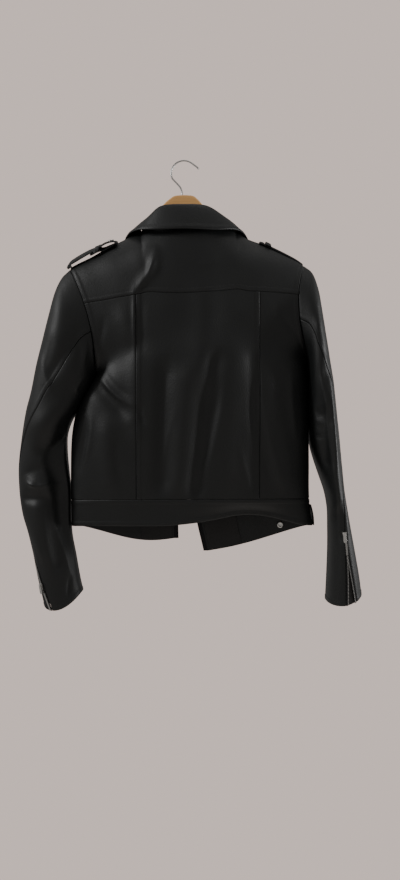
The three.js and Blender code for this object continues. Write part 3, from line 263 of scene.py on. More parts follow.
HANGER_TOP = [
    (-181, -183), (-157, -170), (-126, -153.5), (-100, -141), (-72, -128), (-52, -97),
    (-36, -75.5), (-24, -64.5), (-13, -58.8), (12, -58.6), (22, -64), (32, -75), (52, -99),
    (88, -128), (107, -139.5), (135, -151), (155, -158), (174, -168), (190, -179),
]
HANGER_BELOW = [
    (192, -190), (174, -187), (135, -168), (88, -148), (40, -124), (0, -112), (-40, -124),
    (-88, -152), (-126, -174), (-160, -192), (-181, -196),
]
WOOD_THICK = 12
WOOD_ROUND = 3.5
WIRE_RADIUS = 1.4
HOOK_RADIUS = 21.8
HOOK_TIP = [(25.2, -13.2), (21.9, -9.6), (18, -6.6)]
HOOK_TAIL = [(-19.5, -29.5), (-13, -36.5), (-6.5, -44), (-3.6, -52), (-3.4, -60), (-3.4, -69)]


# ---- small maths
def mix(a, b, k):
    return a + (b - a) * k


def smooth(low, high, value):
    k = np.clip((value - low) / (high - low), 0, 1)
    return k * k * (3 - 2 * k)


def unit(vectors):
    return vectors / np.maximum(np.linalg.norm(vectors, axis=-1, keepdims=True), 1e-9)


def look(table, at):
    """The columns of a table at rows between its own, on a smooth curve through them."""
    rows = np.asarray(table, float)
    keys = rows[:, 0]
    values = rows[:, 1:]
    last = len(keys) - 1
    slopes = np.empty_like(values)
    slopes[0] = (values[1] - values[0]) / (keys[1] - keys[0])
    slopes[-1] = (values[-1] - values[-2]) / (keys[-1] - keys[-2])
    slopes[1:-1] = (values[2:] - values[:-2]) / (keys[2:] - keys[:-2])[:, None]
    t = np.clip(np.asarray(at, float), keys[0], keys[-1])
    i = np.minimum(np.searchsorted(keys[1:], t, side="left"), last - 1)
    span = keys[i + 1] - keys[i]
    k = ((t - keys[i]) / span)[..., None]
    run = span[..., None]
    k2 = k * k
    k3 = k2 * k
    start = (2 * k3 - 3 * k2 + 1) * values[i] + (k3 - 2 * k2 + k) * slopes[i] * run
    end = (3 * k2 - 2 * k3) * values[i + 1] + (k3 - k2) * slopes[i + 1] * run
    return np.moveaxis(start + end, -1, 0)


def points_at(table, at):
    return np.moveaxis(look(table, at), 0, -1)


def look_straight(table, at):
    """The same on straight lines between the rows."""
    rows = np.asarray(table, float)
    return [np.interp(at, rows[:, 0], rows[:, c]) for c in range(1, rows.shape[1])]


def fold_height(folds, x, z):
    """Soft ridges and troughs, each a line that fades at its sides and ends."""
    height = np.zeros_like(x)
    for x0, z0, x1, z1, wide, high in folds:
        dx = x1 - x0
        dz = z1 - z0
        length = math.hypot(dx, dz)
        along = ((x - x0) * dx + (z - z0) * dz) / length
        aside = ((x - x0) * dz - (z - z0) * dx) / length
        fade = smooth(-wide, wide * 1.6, along) * smooth(-wide, wide * 1.6, length - along)
        height += high * fade * np.exp(-((aside / wide) ** 2))
    return height


def crease_height(creases, x, z):
    """Finer creases: bent lines with a crisper crest that taper towards their ends."""
    height = np.zeros_like(x)
    for x0, z0, x1, z1, wide, high, bend in creases:
        dx = x1 - x0
        dz = z1 - z0
        length = math.hypot(dx, dz)
        share = ((x - x0) * dx + (z - z0) * dz) / length**2
        inside = np.clip(share, 0, 1)
        aside = ((x - x0) * dz - (z - z0) * dx) / length - bend * 4 * inside * (1 - inside)
        taper = smooth(-0.12, 0.35, share) * smooth(-0.12, 0.35, 1 - share)
        height += high * taper * np.exp(-(np.abs(aside / wide) ** 1.6))
    return height


def wobble(x, z, strength):
    """Slight unevenness of soft leather over a hand's width."""
    wave = np.sin(x / 23.0 + z / 41.0) + 0.7 * np.sin(x / 13.0 - z / 29.0 + 1.1)
    wave = wave + 0.5 * np.sin(x / 9.0 + z / 15.0 + 2.3) + 0.4 * np.sin(z / 11.0 - x / 31.0)
    return strength * wave / 2.6


# ---- surfaces
PRESSED = 1.6


def sleeve_at(table, turn, row, creased=True):
    """A point of a sleeve: turns around it from the outer edge over the back, and a table row."""
    outer_x, outer_z, inner_x, inner_z, back, front, bow, sag = look(table, row)
    # Beside the armpit the sleeve is pressed to the body, so that no light shows between them.
    pressed = smooth(0, 0.35, row) * (1 - smooth(4.8, 6.2, row))
    inner_x = inner_x + (PRESSED if table is SLEEVE_LEFT else -PRESSED) * pressed
    across = (1 - np.cos(2 * np.pi * turn)) / 2
    side = np.sin(2 * np.pi * turn)
    x = mix(outer_x, inner_x, across) + bow * side * side
    z = mix(outer_z, inner_z, across) - sag * side * side
    settle = smooth(0.2, 2.5, row) * smooth(0, 0.6, np.abs(side))
    fold = fold_height(SLEEVE_FOLDS, x, z) * settle
    blunt = np.power(np.abs(side), mix(1, 0.75, smooth(0.5, 2.5, row)))
    if creased:
        soft = smooth(0.1, 1.2, row) * smooth(0, 0.45, np.abs(side))
        fold = fold + (crease_height(SLEEVE_CREASES, x, z) + wobble(x, z, 0.7)) * soft
    ridge, deep = look(TUCK_LEFT if table is SLEEVE_LEFT else TUCK_RIGHT, row)
    beside = np.clip((across - ridge) / (1 - ridge), 0, 1)
    tuck = deep * 4 * beside * (1 - beside)
    y = np.where(side > 0, -back * blunt - fold + tuck, front * blunt + fold * 0.35)
    if creased:
        mirrored = crease_height(SLEEVE_CREASES, x + 9, z + 31) * soft
        y = np.where(side > 0, y, y + mirrored * 0.8)
    return np.stack([x, y, z], -1)


def armhole_at(side, turn):
    table = SLEEVE_LEFT if side == "left" else SLEEVE_RIGHT
    return sleeve_at(table, turn, np.zeros_like(turn), creased=False)


def top_height(x):
    return look(TOP_LINE, x)[0]


def hole_or_seam(side, turn, row):
    """The outer edge of a body row: the armhole above the armpit, the side seam below."""
    body = look(BODY, row)
    hole = armhole_at(side, turn)
    below = (row >= 1)[..., None]
    first = 0 if side == "left" else 2
    seam = np.stack([body[first], np.zeros_like(row), body[first + 1]], -1)
    return np.where(below, seam, hole)


# Rows above and below over which the sides are averaged, so that no kink of theirs runs inwards.
AROUND = np.linspace(-0.3, 0.3, 13)


def back_edges(row):
    """Left and right edge of a body row, and the same edges averaged over the rows around it."""
    sides = []
    for side in ("left", "right"):
        exact = hole_or_seam(side, row / 2, row)
        near = [np.clip(row + shift, 0, HEM_ROW) for shift in AROUND]
        even = sum(hole_or_seam(side, at / 2, at) for at in near) / len(AROUND)
        sides.append((exact, even))
    return sides


def between_edges(sides, across, row):
    """Both edges as the cloth between them follows them: evenly, away from the seams."""
    inside = smooth(0, 0.25, across) * smooth(0, 0.25, 1 - across)
    inside = (inside * smooth(0.5, 0.8, row) * (1 - smooth(1.4, 1.7, row)))[..., None]
    return [mix(exact, even, inside) for exact, even in sides]


def roundness(row):
    """How far a row is between the flat shoulders, 0, and the round body below them, 1."""
    return smooth(0.55, 1.2, row)


def spread(across, row):
    """Shares across the back, eased towards its round sides below the shoulders."""
    return mix(across, (1 - np.cos(np.pi * across)) / 2, roundness(row))


def back_at(across, row):
    """A point of the back, from the shoulder line to the hem."""
    round_ = roundness(row)
    left, right = between_edges(back_edges(row), across, row)
    x = mix(left[..., 0], right[..., 0], spread(across, row))
    centre, raise_ = look(BACK_CENTRE, row)
    flat = mix(left[..., 2], right[..., 2], across)
    shoulder = mix(LEFT_TIP[0], RIGHT_TIP[0], across)
    lift = top_height(shoulder) - mix(LEFT_TIP[1], RIGHT_TIP[1], across)
    fade = np.clip(1 - row, 0, 1) ** 2
    drawn = look(HEM_LIFT, across)[0] * smooth(BAND_ROW, HEM_ROW, row)
    dip = YOKE_DIP * smooth(0.05, YOKE_ROW, row) * (1 - smooth(YOKE_ROW, 0.95, row))
    z = flat + lift * fade + (raise_ - dip) * np.sin(np.pi * across) + drawn
    edge = mix(left[..., 1], right[..., 1], across)
    neck_turn = np.clip((shoulder - NECK[0]) / (NECK[1] - NECK[0]), 0, 1)
    neck_bulge = np.maximum(np.sin(np.pi * neck_turn), 0) ** 0.6
    wave = np.maximum(np.sin(np.pi * np.clip(across, 0, 1)), 0)
    body_bulge = mix(wave**1.2, wave**0.72, round_)
    bulge = mix(neck_bulge, body_bulge, smooth(0, 0.3, row))
    depth = (centre + edge) * bulge
    settle = smooth(0, 0.12, across) * smooth(0, 0.12, 1 - across) * smooth(0.05, 0.4, row)
    fold = fold_height(BACK_FOLDS, x, z) * settle
    soft_edge = smooth(0, 0.06, across) * smooth(0, 0.06, 1 - across) * smooth(0.02, 0.15, row)
    fine = crease_height(BACK_CREASES, x, z) + wobble(x, z, 0.6)
    return np.stack([x, edge - depth - fold - fine * soft_edge + drawn * HEM_TURN, z], -1)


def front_at(side, across, row):
    """A point of a front, from its side seam at 0 to its front edge at 1."""
    outer = hole_or_seam(side, 1 - row / 2, row)
    inner = look(EDGES[side], row)
    round_ = roundness(row)
    soft = 1 - np.cos((np.pi / 2) * across)
    share = mix(across, soft, round_ * 0.8)
    x = mix(outer[..., 0], inner[0], share)
    straight = mix(outer[..., 2], inner[2], share)
    hang = np.sin(np.pi * np.clip(share, 0, 1) ** 1.4)
    sag = FRONT_SAG[side] * smooth(1.6, 2.25, row) * hang
    shoulder = mix(outer[..., 0], inner[0], across)
    lift = top_height(shoulder) - mix(outer[..., 2], inner[2], across)
    z = straight - sag + lift * np.clip(1 - row / 0.5, 0, 1) ** 2
    rise = np.sin((np.pi / 2) * np.clip(across, 0, 1)) ** mix(1, 0.62, round_)
    settle = smooth(0, 0.2, across) * smooth(0, 0.15, 1 - across) * smooth(0.1, 0.5, row)
    fold = fold_height(FRONT_FOLDS, x, z) * settle
    fine = crease_height(FRONT_CREASES, x, z) + wobble(x, z, 0.5)
    return np.stack([x, mix(outer[..., 1], inner[1], rise) + fold + fine * settle, z], -1)


BACK_SEAM_X = (-77, 125)
HALVINGS = 26


def seam_across(which, row):
    """Where the left or right vertical seam of the back lies, as a share across the row."""
    sides = back_edges(row)
    low = np.zeros_like(row)
    high = np.ones_like(row)
    for _ in range(HALVINGS):
        middle = (low + high) / 2
        left, right = between_edges(sides, middle, row)
        short = mix(left[..., 0], right[..., 0], spread(middle, row)) < BACK_SEAM_X[which]
        low = np.where(short, middle, low)
        high = np.where(short, high, middle)
    return (low + high) / 2


def back_panel(column, row):
    """Column 0 to 1 is the left side panel, 1 to 2 the centre, 2 to 3 the right one."""
    left = seam_across(0, row)
    right = seam_across(1, row)
    side_left = left * column
    centre = mix(left, right, column - 1)
    side_right = mix(right, 1, column - 2)
    across = np.where(column <= 1, side_left, np.where(column <= 2, centre, side_right))
    return back_at(across, row)


def normal_of(surface, c, r, e=2e-3):
    across = surface(c + e, r) - surface(c - e, r)
    down = surface(c, r + e) - surface(c, r - e)
    return unit(np.cross(across, down))


def moved(surface, shift, out):
    """A surface moved along its own normal."""
    return lambda c, r: surface(c, r) + normal_of(surface, c, r) * shift * out


# ---- materials
def material(name, colour, roughness, metallic=0.0):
    made = bpy.data.materials.new(name)
    made.use_nodes = True
    shader = shader_of(made)
    shader.inputs["Base Color"].default_value = (*colour, 1)
    shader.inputs["Roughness"].default_value = roughness
    shader.inputs["Metallic"].default_value = metallic
    return made


def shader_of(made):
    return made.node_tree.nodes["Principled BSDF"]


def link(made, output, entry):
    made.node_tree.links.new(output, entry)


def added(made, kind, values):
    """A shader node with these values on its inputs."""
    node = made.node_tree.nodes.new(kind)
    for name, value in values.items():
        node.inputs[name].default_value = value
    return node


def pattern(made, kind, values, stretch=None):
    """A texture over the object's own coordinates, which may be stretched."""
    place = added(made, "ShaderNodeTexCoord", {}).outputs["Object"]
    if stretch:
        mapping = added(made, "ShaderNodeMapping", {"Scale": stretch})
        link(made, place, mapping.inputs["Vector"])
        place = mapping.outputs["Vector"]
    texture = added(made, kind, values)
    link(made, place, texture.inputs["Vector"])
    return texture


def tint(made, share, first, second):
    """The base colour between two colours."""
    both = added(made, "ShaderNodeMix", {})
    both.data_type = "RGBA"
    both.inputs["A"].default_value = (*first, 1)
    both.inputs["B"].default_value = (*second, 1)
    link(made, share, both.inputs["Factor"])
    link(made, both.outputs["Result"], shader_of(made).inputs["Base Color"])


def gloss(made, share, values):
    """The roughness between two values."""
    ranged = added(made, "ShaderNodeMapRange", values)
    link(made, share, ranged.inputs["Value"])
    link(made, ranged.outputs["Result"], shader_of(made).inputs["Roughness"])


def relief(made, height, strength, distance):
    bump = added(made, "ShaderNodeBump", {"Strength": strength, "Distance": distance})
    link(made, height, bump.inputs["Height"])
    link(made, bump.outputs["Normal"], shader_of(made).inputs["Normal"])


def grained_leather(name, dark, light, low, high, grain):
    """Black leather: a fine pebbled grain, with soft patches of a duller and a glossier finish."""
    made = material(name, dark, low)
    patches = pattern(made, "ShaderNodeTexNoise", {"Scale": 14, "Detail": 4}).outputs["Fac"]
    tint(made, patches, dark, light)
    gloss(made, patches, {"From Min": 0.3, "From Max": 0.7, "To Min": low, "To Max": high})
    pebbles = pattern(made, "ShaderNodeTexVoronoi", {"Scale": 620})
    lines = pattern(made, "ShaderNodeTexNoise", {"Scale": 190, "Detail": 5})
    both = added(made, "ShaderNodeMath", {})
    both.operation = "ADD"
    link(made, pebbles.outputs["Distance"], both.inputs[0])
    link(made, lines.outputs["Fac"], both.inputs[1])
    relief(made, both.outputs["Value"], grain, 0.0004)
    return made


def woven(name, colour):
    made = material(name, colour, 0.9)
    weave = pattern(made, "ShaderNodeTexWave", {"Scale": 900})
    relief(made, weave.outputs["Fac"], 0.5, 0.0003)
    return made


def worn_metal(name, colour, low, high):
    made = material(name, colour, low, 1.0)
    noise = pattern(made, "ShaderNodeTexNoise", {"Scale": 160})
    gloss(made, noise.outputs["Fac"], {"To Min": low, "To Max": high})
    return made


def beech(name):
    """Lacquered tan wood with a fine grain along the hanger."""
    made = material(name, (0.86, 0.48, 0.18), 0.42)
    grain = pattern(made, "ShaderNodeTexNoise", {"Scale": 5, "Detail": 8}, (6, 60, 90))
    tint(made, grain.outputs["Fac"], (1.0, 0.58, 0.23), (0.84, 0.43, 0.14))
    return made


LOOKS = {
    "leather": grained_leather(
        "leather", (0.0050, 0.0060, 0.0062), (0.0088, 0.0100, 0.0102), 0.44, 0.56, 0.45,
    ),
    "inside": grained_leather(
        "leather_inside", (0.014, 0.013, 0.013), (0.022, 0.021, 0.021), 0.62, 0.75, 0.3,
    ),
    "tape": woven("zip_tape", (0.012, 0.012, 0.013)),
    "thread": material("thread", (0.018, 0.018, 0.019), 0.55),
    "nickel": worn_metal("nickel", (0.72, 0.71, 0.69), 0.18, 0.36),
    "steel": worn_metal("steel", (0.62, 0.61, 0.60), 0.22, 0.38),
    "wood": beech("beech"),
}


# ---- meshes
def add_object(name, points, faces, look_name, nodes=(), body="jacket", flat_from=None, slot=None):
    """A mesh from points in millimetres, on a body, standing for CAD nodes. Its faces are smooth up
    to `flat_from`."""
    mesh = bpy.data.meshes.new(name)
    mesh.vertices.add(len(points))
    mesh.vertices.foreach_set("co", (np.asarray(points, float) * MM).astype(np.float32).ravel())
    sizes = np.array([len(f) for f in faces], np.int32)
    loops = np.concatenate([np.asarray(f, np.int32) for f in faces])
    mesh.loops.add(int(sizes.sum()))
    mesh.loops.foreach_set("vertex_index", loops)
    mesh.polygons.add(len(faces))
    starts = np.concatenate([[0], np.cumsum(sizes)[:-1]]).astype(np.int32)
    mesh.polygons.foreach_set("loop_start", starts)
    mesh.update(calc_edges=True)
    soft = np.ones(len(faces), bool)
    if flat_from is not None:
        soft[flat_from:] = False
    mesh.polygons.foreach_set("use_smooth", soft)
    mesh.update()
    mesh.materials.append(LOOKS[look_name])
    made = bpy.data.objects.new(name, mesh)
    bpy.context.scene.collection.objects.link(made)
    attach(made, body)
    if nodes:
        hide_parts(*nodes)
    return made


# Distances of stitch lines from an edge, and of the grid lines that carry the relief there.
SEAM_STITCH = 2.0
STRAP_STITCH = 2.7
HEM_STITCH = 3.8
FAR_STITCH = 7.2
EDGE_MARKS = np.array([
    0, 0.35, 0.8, 1.4, SEAM_STITCH, STRAP_STITCH, HEM_STITCH, 5.2, 6.4, FAR_STITCH, 8.2,
])
WIDE_ENOUGH = 24


def marks(length, step):
    """Shares from 0 to 1 along a side of this length, close together near both edges."""
    near = EDGE_MARKS if length > WIDE_ENOUGH else EDGE_MARKS[:4]
    count = max(2, round((length - 2 * near[-1]) / step) + 1)
    inner = np.linspace(near[-1], length - near[-1], count)
    return np.concatenate([near[:-1], inner, (length - near[:-1])[::-1]]) / length


def grid_normals(points):
    return unit(np.cross(np.gradient(points, axis=0), np.gradient(points, axis=1)))


def edge_relief(kind, d):
    """Height of the leather near an edge: turned in, or turned in and topstitched flat."""
    roll = -0.75 * np.exp(-((d / 0.75) ** 2))
    if kind == "seam":
        return roll
    if kind == "open":
        return 0.6 * roll
    held = 0.5 * smooth(0.3, 1.5, d) * (1 - smooth(6.2, 8.4, d))
    dent = -0.22 * np.exp(-(((d - SEAM_STITCH) / 0.55) ** 2))
    if kind == "double":
        dent = dent - 0.3 * np.exp(-(((d - FAR_STITCH) / 0.8) ** 2))
    return roll + held + dent


def edges(first_row, last_row, first_column, last_column):
    """The kind of each edge of a panel, None for one that is left plain."""
    return {"r0": first_row, "r1": last_row, "c0": first_column, "c1": last_column}


ALL_SEAMS = edges("seam", "seam", "seam", "seam")
PLAIN = edges(None, None, None, None)


def distances(points):
    """How far each grid point lies from the first and last column and row, along the cloth."""
    across = np.linalg.norm(np.diff(points, axis=0), axis=-1)
    down = np.linalg.norm(np.diff(points, axis=1), axis=-1)
    c0 = np.concatenate([np.zeros((1, points.shape[1])), np.cumsum(across, axis=0)])
    r0 = np.concatenate([np.zeros((points.shape[0], 1)), np.cumsum(down, axis=1)], axis=1)
    return {"c0": c0, "c1": c0[-1:] - c0, "r0": r0, "r1": r0[:, -1:] - r0}


def wall_faces(across, down, out):
    """Quads of a closed wall over an outer and an inner grid; the rims come last."""
    i, j = np.meshgrid(np.arange(across - 1), np.arange(down - 1), indexing="ij")
    a = (i * down + j).ravel()
    layer = across * down
    outer = np.stack([a, a + down, a + down + 1, a + 1], 1)
    inner = outer[:, ::-1] + layer
    i = np.arange(across - 1) * down
    j = np.arange(down - 1)
    last_row = i + down - 1
    last_column = (across - 1) * down + j
    rims = np.concatenate([
        np.stack([i, i + layer, i + down + layer, i + down], 1),
        np.stack([last_row, last_row + down, last_row + down + layer, last_row + layer], 1),
        np.stack([j, j + 1, j + 1 + layer, j + layer], 1),
        np.stack([last_column, last_column + layer, last_column + 1 + layer, last_column + 1], 1),
    ])
    faces = np.concatenate([outer, inner, rims])
    if out < 0:
        faces = faces[:, ::-1]
    return faces, 2 * len(outer)


PANELS = {}


def panel(node, surface, columns, rows, out, kinds, thick=LEATHER, look_name="leather"):
    """A piece of cloth: a thin closed wall whose outer face lies on `surface`."""
    c, r = np.meshgrid(columns, rows, indexing="ij")
    points = surface(c, r)
    normals = grid_normals(points) * out
    far = distances(points)
    height = np.zeros(c.shape)
    for edge, kind in kinds.items():
        if kind:
            height = height + edge_relief(kind, far[edge])
    outer = points + normals * height[..., None]
    inner = points - normals * thick
    grid = np.concatenate([outer.reshape(-1, 3), inner.reshape(-1, 3)])
    faces, flat_from = wall_faces(c.shape[0], c.shape[1], out)
    made = add_object(f"{node}_piece", grid, faces, look_name, [node], flat_from=flat_from)
    PANELS[node] = {"points": outer, "normals": normals, "far": far, "object": made}


# ---- sewing
STITCH_LONG = 2.5
STITCH_PITCH = 3.4
STITCH_RADIUS = 0.32
STITCH_LIFT = 0.12
STITCH_SIDES = 5
sewing = []


def line_on(node, edge, distance, start=0.0, stop=1.0):
    """Points and normals along a panel, at a fixed distance from one of its edges."""
    far = PANELS[node]["far"][edge]
    points = PANELS[node]["points"]
    normals = PANELS[node]["normals"]
    if edge[0] == "r":
        far, points, normals = far.T, points.transpose(1, 0, 2), normals.transpose(1, 0, 2)
    if edge[1] == "1":
        far, points, normals = far[::-1], points[::-1], normals[::-1]
    index = np.argmax(far >= distance, axis=0)
    index = np.maximum(index, 1)
    j = np.arange(far.shape[1])
    a = far[index - 1, j]
    b = far[index, j]
    k = np.clip((distance - a) / np.maximum(b - a, 1e-6), 0, 1)[:, None]
    line = mix(points[index - 1, j], points[index, j], k)
    off = mix(normals[index - 1, j], normals[index, j], k)
    low = int(start * (len(j) - 1))
    high = int(stop * (len(j) - 1)) + 1
    return line[low:high], off[low:high]


def run_of(line):
    """The distance along a line at each of its points."""
    return np.concatenate([[0], np.cumsum(np.linalg.norm(np.diff(line, axis=0), axis=1))])


def sampled(values, run, at):
    return np.stack([np.interp(at, run, values[:, n]) for n in range(3)], 1)


def places(line, off, at, ahead):
    """Points at these distances along a line, with the way it runs and its normal there."""
    run = run_of(line)
    middle = sampled(line, run, at)
    return middle, unit(sampled(line, run, at + ahead) - middle), unit(sampled(off, run, at))


def repeated(shape, faces, middle, axes):
    """One small shape at every place, turned into the axes there."""
    points = middle[:, None]
    for n, axis in enumerate(axes):
        points = points + shape[None, :, n : n + 1] * axis[:, None]
    every = [[v + s * len(shape) for v in face] for s in range(len(middle)) for face in faces]
    return points.reshape(-1, 3), every


def sew_edge(node, edge, distance, start=0.0, stop=1.0):
    """Stitches at an even pitch beside an edge of a panel."""
    line, off = line_on(node, edge, distance, start, stop)
    whole = run_of(line)[-1]
    if whole < STITCH_PITCH * 2:
        return
    at = np.arange(STITCH_PITCH, whole - STITCH_PITCH / 2, STITCH_PITCH)
    middle, way, up = places(line, off, at, 0.5)
    sewing.append((middle + up * STITCH_LIFT, way, up))


def make_sewing(name):
    """All stitches as small spindles of thread in one mesh."""
    middle, way, up = [np.concatenate([s[n] for s in sewing]) for n in range(3)]
    turns = np.arange(STITCH_SIDES) * 2 * np.pi / STITCH_SIDES
    spindle = [(-STITCH_LONG / 2, 0, 0)]
    for at in (-0.3, 0.3):
        for a in turns:
            spindle.append((STITCH_LONG * at, math.cos(a) * STITCH_RADIUS, math.sin(a) * STITCH_RADIUS))
    spindle.append((STITCH_LONG / 2, 0, 0))
    faces = []
    second = 1 + STITCH_SIDES
    for k in range(STITCH_SIDES):
        n = (k + 1) % STITCH_SIDES
        faces.append((0, 1 + n, 1 + k))
        faces.append((1 + k, 1 + n, second + n, second + k))
        faces.append((len(spindle) - 1, second + k, second + n))
    axes = (way, np.cross(way, up), up)
    add_object(name, *repeated(np.array(spindle), faces, middle, axes), "thread")


# ---- back
# Widths and heights that set how fine each grid is.
LEFT_WIDE = 115
CENTRE_WIDE = 202
RIGHT_WIDE = 80
YOKE_HIGH = 115
BACK_HIGH = 338
BAND_HIGH = 44


def make_back():
    left = marks(LEFT_WIDE, FINE_STEP)
    centre = marks(CENTRE_WIDE, FINE_STEP)
    right = marks(RIGHT_WIDE, FINE_STEP)
    whole = np.concatenate([left * 0.9999, 1 + centre[1:] * 0.9999, 2 + right[1:]])
    top = mix(FIRST_ROW, YOKE_ROW - SEAM_GAP, marks(YOKE_HIGH, FINE_STEP))
    lower = mix(YOKE_ROW + SEAM_GAP, BAND_ROW - SEAM_GAP, marks(BACK_HIGH, FINE_STEP))
    band = mix(BAND_ROW + SEAM_GAP, HEM_ROW, marks(BAND_HIGH, FINE_STEP))
    for node, columns, rows, kinds in (
        ("yoke", whole, top, edges("seam", "double", "stitched", "stitched")),
        ("back_side_l", left * 0.9998, lower, edges("seam", "seam", "stitched", "seam")),
        ("back_centre", 1.0002 + centre * 0.9997, lower, edges("seam", "seam", "stitched", "stitched")),
        ("back_side_r", 2.0002 + right * 0.9998, lower, edges("seam", "seam", "seam", "stitched")),
        ("waistband_back", whole, band, edges("stitched", "stitched", "seam", "seam")),
    ):
        panel(node, back_panel, columns, rows, -1, kinds)
    for distance in (SEAM_STITCH, FAR_STITCH):
        sew_edge("yoke", "r1", distance)
    for edge in ("c0", "c1"):
        sew_edge("yoke", edge, SEAM_STITCH)
        sew_edge("back_centre", edge, SEAM_STITCH)
    sew_edge("back_side_l", "c0", SEAM_STITCH, 0, 0.36)
    sew_edge("back_side_r", "c1", SEAM_STITCH, 0, 0.36)
    sew_edge("waistband_back", "r0", SEAM_STITCH)
    sew_edge("waistband_back", "r1", HEM_STITCH)


# ---- fronts, lapels and facings
def lapel_at(front, column, row):
    """A point of a lapel, which narrows downwards along the front edge."""
    body_row = mix(0.36 + 0.1 * column, 1.3, row)
    width = 0.04 + 0.52 * (1 - np.clip(row, 0, 1)) ** 0.85
    return front(0.99 - width * column, body_row)


def make_front(side):
    end = side[0]
    out = 1 if side == "left" else -1
    surface = lambda c, r: front_at(side, c, r)
    columns = marks(190, FRONT_STEP)
    rows = mix(FIRST_ROW, BAND_ROW - SEAM_GAP, marks(445, FRONT_STEP))
    band = mix(BAND_ROW + SEAM_GAP, HEM_ROW, marks(52, FRONT_STEP))
    panel(f"front_{end}", surface, columns, rows, out, edges("seam", "seam", "stitched", "stitched"))
    panel(f"waistband_front_{end}", surface, columns, band, out,
          edges("stitched", "stitched", "seam", "stitched"))
    raised = moved(surface, LEATHER + PLY_GAP, out)
    lapel = lambda c, r: lapel_at(raised, c, r)
    panel(f"lapel_{end}", lapel, marks(80, FRONT_STEP), marks(190, FRONT_STEP), -out,
          edges("stitched", "seam", "seam", "stitched"))
    lowered = moved(surface, -(LEATHER + PLY_GAP * 2), out)
    facing_columns = mix(0.765, 0.985, marks(40, FRONT_STEP))
    facing_rows = mix(0.5, HEM_ROW - 0.006, marks(430, FRONT_STEP))
    panel(f"facing_{end}", lowered, facing_columns, facing_rows, out,
          edges(None, "seam", "seam", "seam"), 1.0, "inside")
    sew_edge(f"front_{end}", "c0", SEAM_STITCH)
    sew_edge(f"front_{end}", "c1", FAR_STITCH, 0.6)
    sew_edge(f"waistband_front_{end}", "r0", SEAM_STITCH)
    sew_edge(f"waistband_front_{end}", "r1", HEM_STITCH)
    sew_edge(f"waistband_front_{end}", "c1", FAR_STITCH)
    sew_edge(f"lapel_{end}", "c1", HEM_STITCH)
    sew_edge(f"lapel_{end}", "r0", HEM_STITCH)


# ---- sleeves
SLEEVES = {
    "l": {"side": "left", "table": SLEEVE_LEFT, "seams": SEAM_LEFT, "out": -1},
    "r": {"side": "right", "table": SLEEVE_RIGHT, "seams": SEAM_RIGHT, "out": 1},
}
TURN_GAP = 0.0001
CUFF_ROW = 15


def make_sleeve(end):
    sleeve = SLEEVES[end]
    table = sleeve["table"]

    def upper(column, row):
        to = look_straight(sleeve["seams"], row)[1] - TURN_GAP
        return sleeve_at(table, mix(FRONT_SEAM - 1 + TURN_GAP, to, column), row)

    def under(column, row):
        start = look_straight(sleeve["seams"], row)[0] + TURN_GAP
        return sleeve_at(table, mix(start, FRONT_SEAM - TURN_GAP, column), row)

    rows = FIRST_ROW + marks(560, FINE_STEP) * (CUFF_ROW - FIRST_ROW)
    panel(f"sleeve_upper_{end}", upper, marks(190, FINE_STEP), rows, sleeve["out"],
          edges("seam", "stitched", "stitched", "stitched"))
    panel(f"sleeve_under_{end}", under, marks(110, FINE_STEP), rows, sleeve["out"],
          edges("seam", "stitched", "seam", "seam"))
    sew_edge(f"sleeve_upper_{end}", "c1", SEAM_STITCH)
    sew_edge(f"sleeve_upper_{end}", "c0", SEAM_STITCH)
    sew_edge(f"sleeve_upper_{end}", "r1", FAR_STITCH)
    sew_edge(f"sleeve_under_{end}", "r1", FAR_STITCH)


# ---- collar
STAND_LIFT = np.array([0, 0, 0.1])
NECK_CENTRE = np.array([3.0, 20.0, -110.0])
STAND_LEAN = 2.0
FALL_CROWN = 1.2


def stand_at(turn, up):
    """A point of the collar stand, from the neck seam up to the roll line."""
    foot = points_at(NECK_SEAM, turn) + STAND_LIFT
    head = points_at(ROLL_LINE, turn) - STAND_LIFT
    away = foot - NECK_CENTRE
    away[..., 2] = 0
    away /= np.linalg.norm(away, axis=-1, keepdims=True)
    lean = np.sin(np.pi * up) * STAND_LEAN
    return mix(foot, head, up[..., None]) - away * lean[..., None]


def fall_at(turn, down):
    """A point of the collar fall, from the roll line over a low crown down to its free edge."""
    roll = points_at(ROLL_LINE, turn)
    edge = points_at(FALL_EDGE, turn)
    crown = roll + (edge - roll) * np.array([0.25, 0.25, 0]) + np.array([0, 0, FALL_CROWN])
    a = ((1 - down) ** 2)[..., None]
    b = (2 * down * (1 - down))[..., None]
    c = (down**2)[..., None]
    return a * roll + b * crown + c * edge


def make_collar():
    panel("collar_stand", stand_at, mix(0.17, 0.83, marks(290, FINE_STEP)), marks(34, FINE_STEP), 1,
          ALL_SEAMS)
    panel("collar_fall", fall_at, mix(0.03, 0.97, marks(430, FINE_STEP)), marks(52, FINE_STEP), -1,
          edges("open", "stitched", "stitched", "stitched"))
    for edge in ("r1", "c0", "c1"):
        sew_edge("collar_fall", edge, HEM_STITCH)


# ---- zips
TOOTH = (1.5, 1.0, 1.4)
TOOTH_PITCH = 2.3
TOOTH_LIFT = 0.75
CLOSED_TEETH = {"size": (3.2, 1.1, 1.4), "pitch": 1.7}
TAPE_THICK = 0.9
TAPE_STEP = 3.0
TAPE_COLUMNS = np.linspace(0, 1, 5)
FRONT_TAPE_ROWS = (1.34, HEM_ROW)
# The right cuff zip: its turn where it is closed, and the row of its slider's lower end.
CLOSED_TURN = 0.244
OPEN_ROW = 12.95
BOX_CORNERS = np.array([(x, y, z) for x in (-1, 1) for y in (-1, 1) for z in (-1, 1)], float)
BOX_FACES = [(0, 1, 3, 2), (4, 6, 7, 5), (0, 4, 5, 1), (2, 3, 7, 6), (0, 2, 6, 4), (1, 5, 7, 3)]


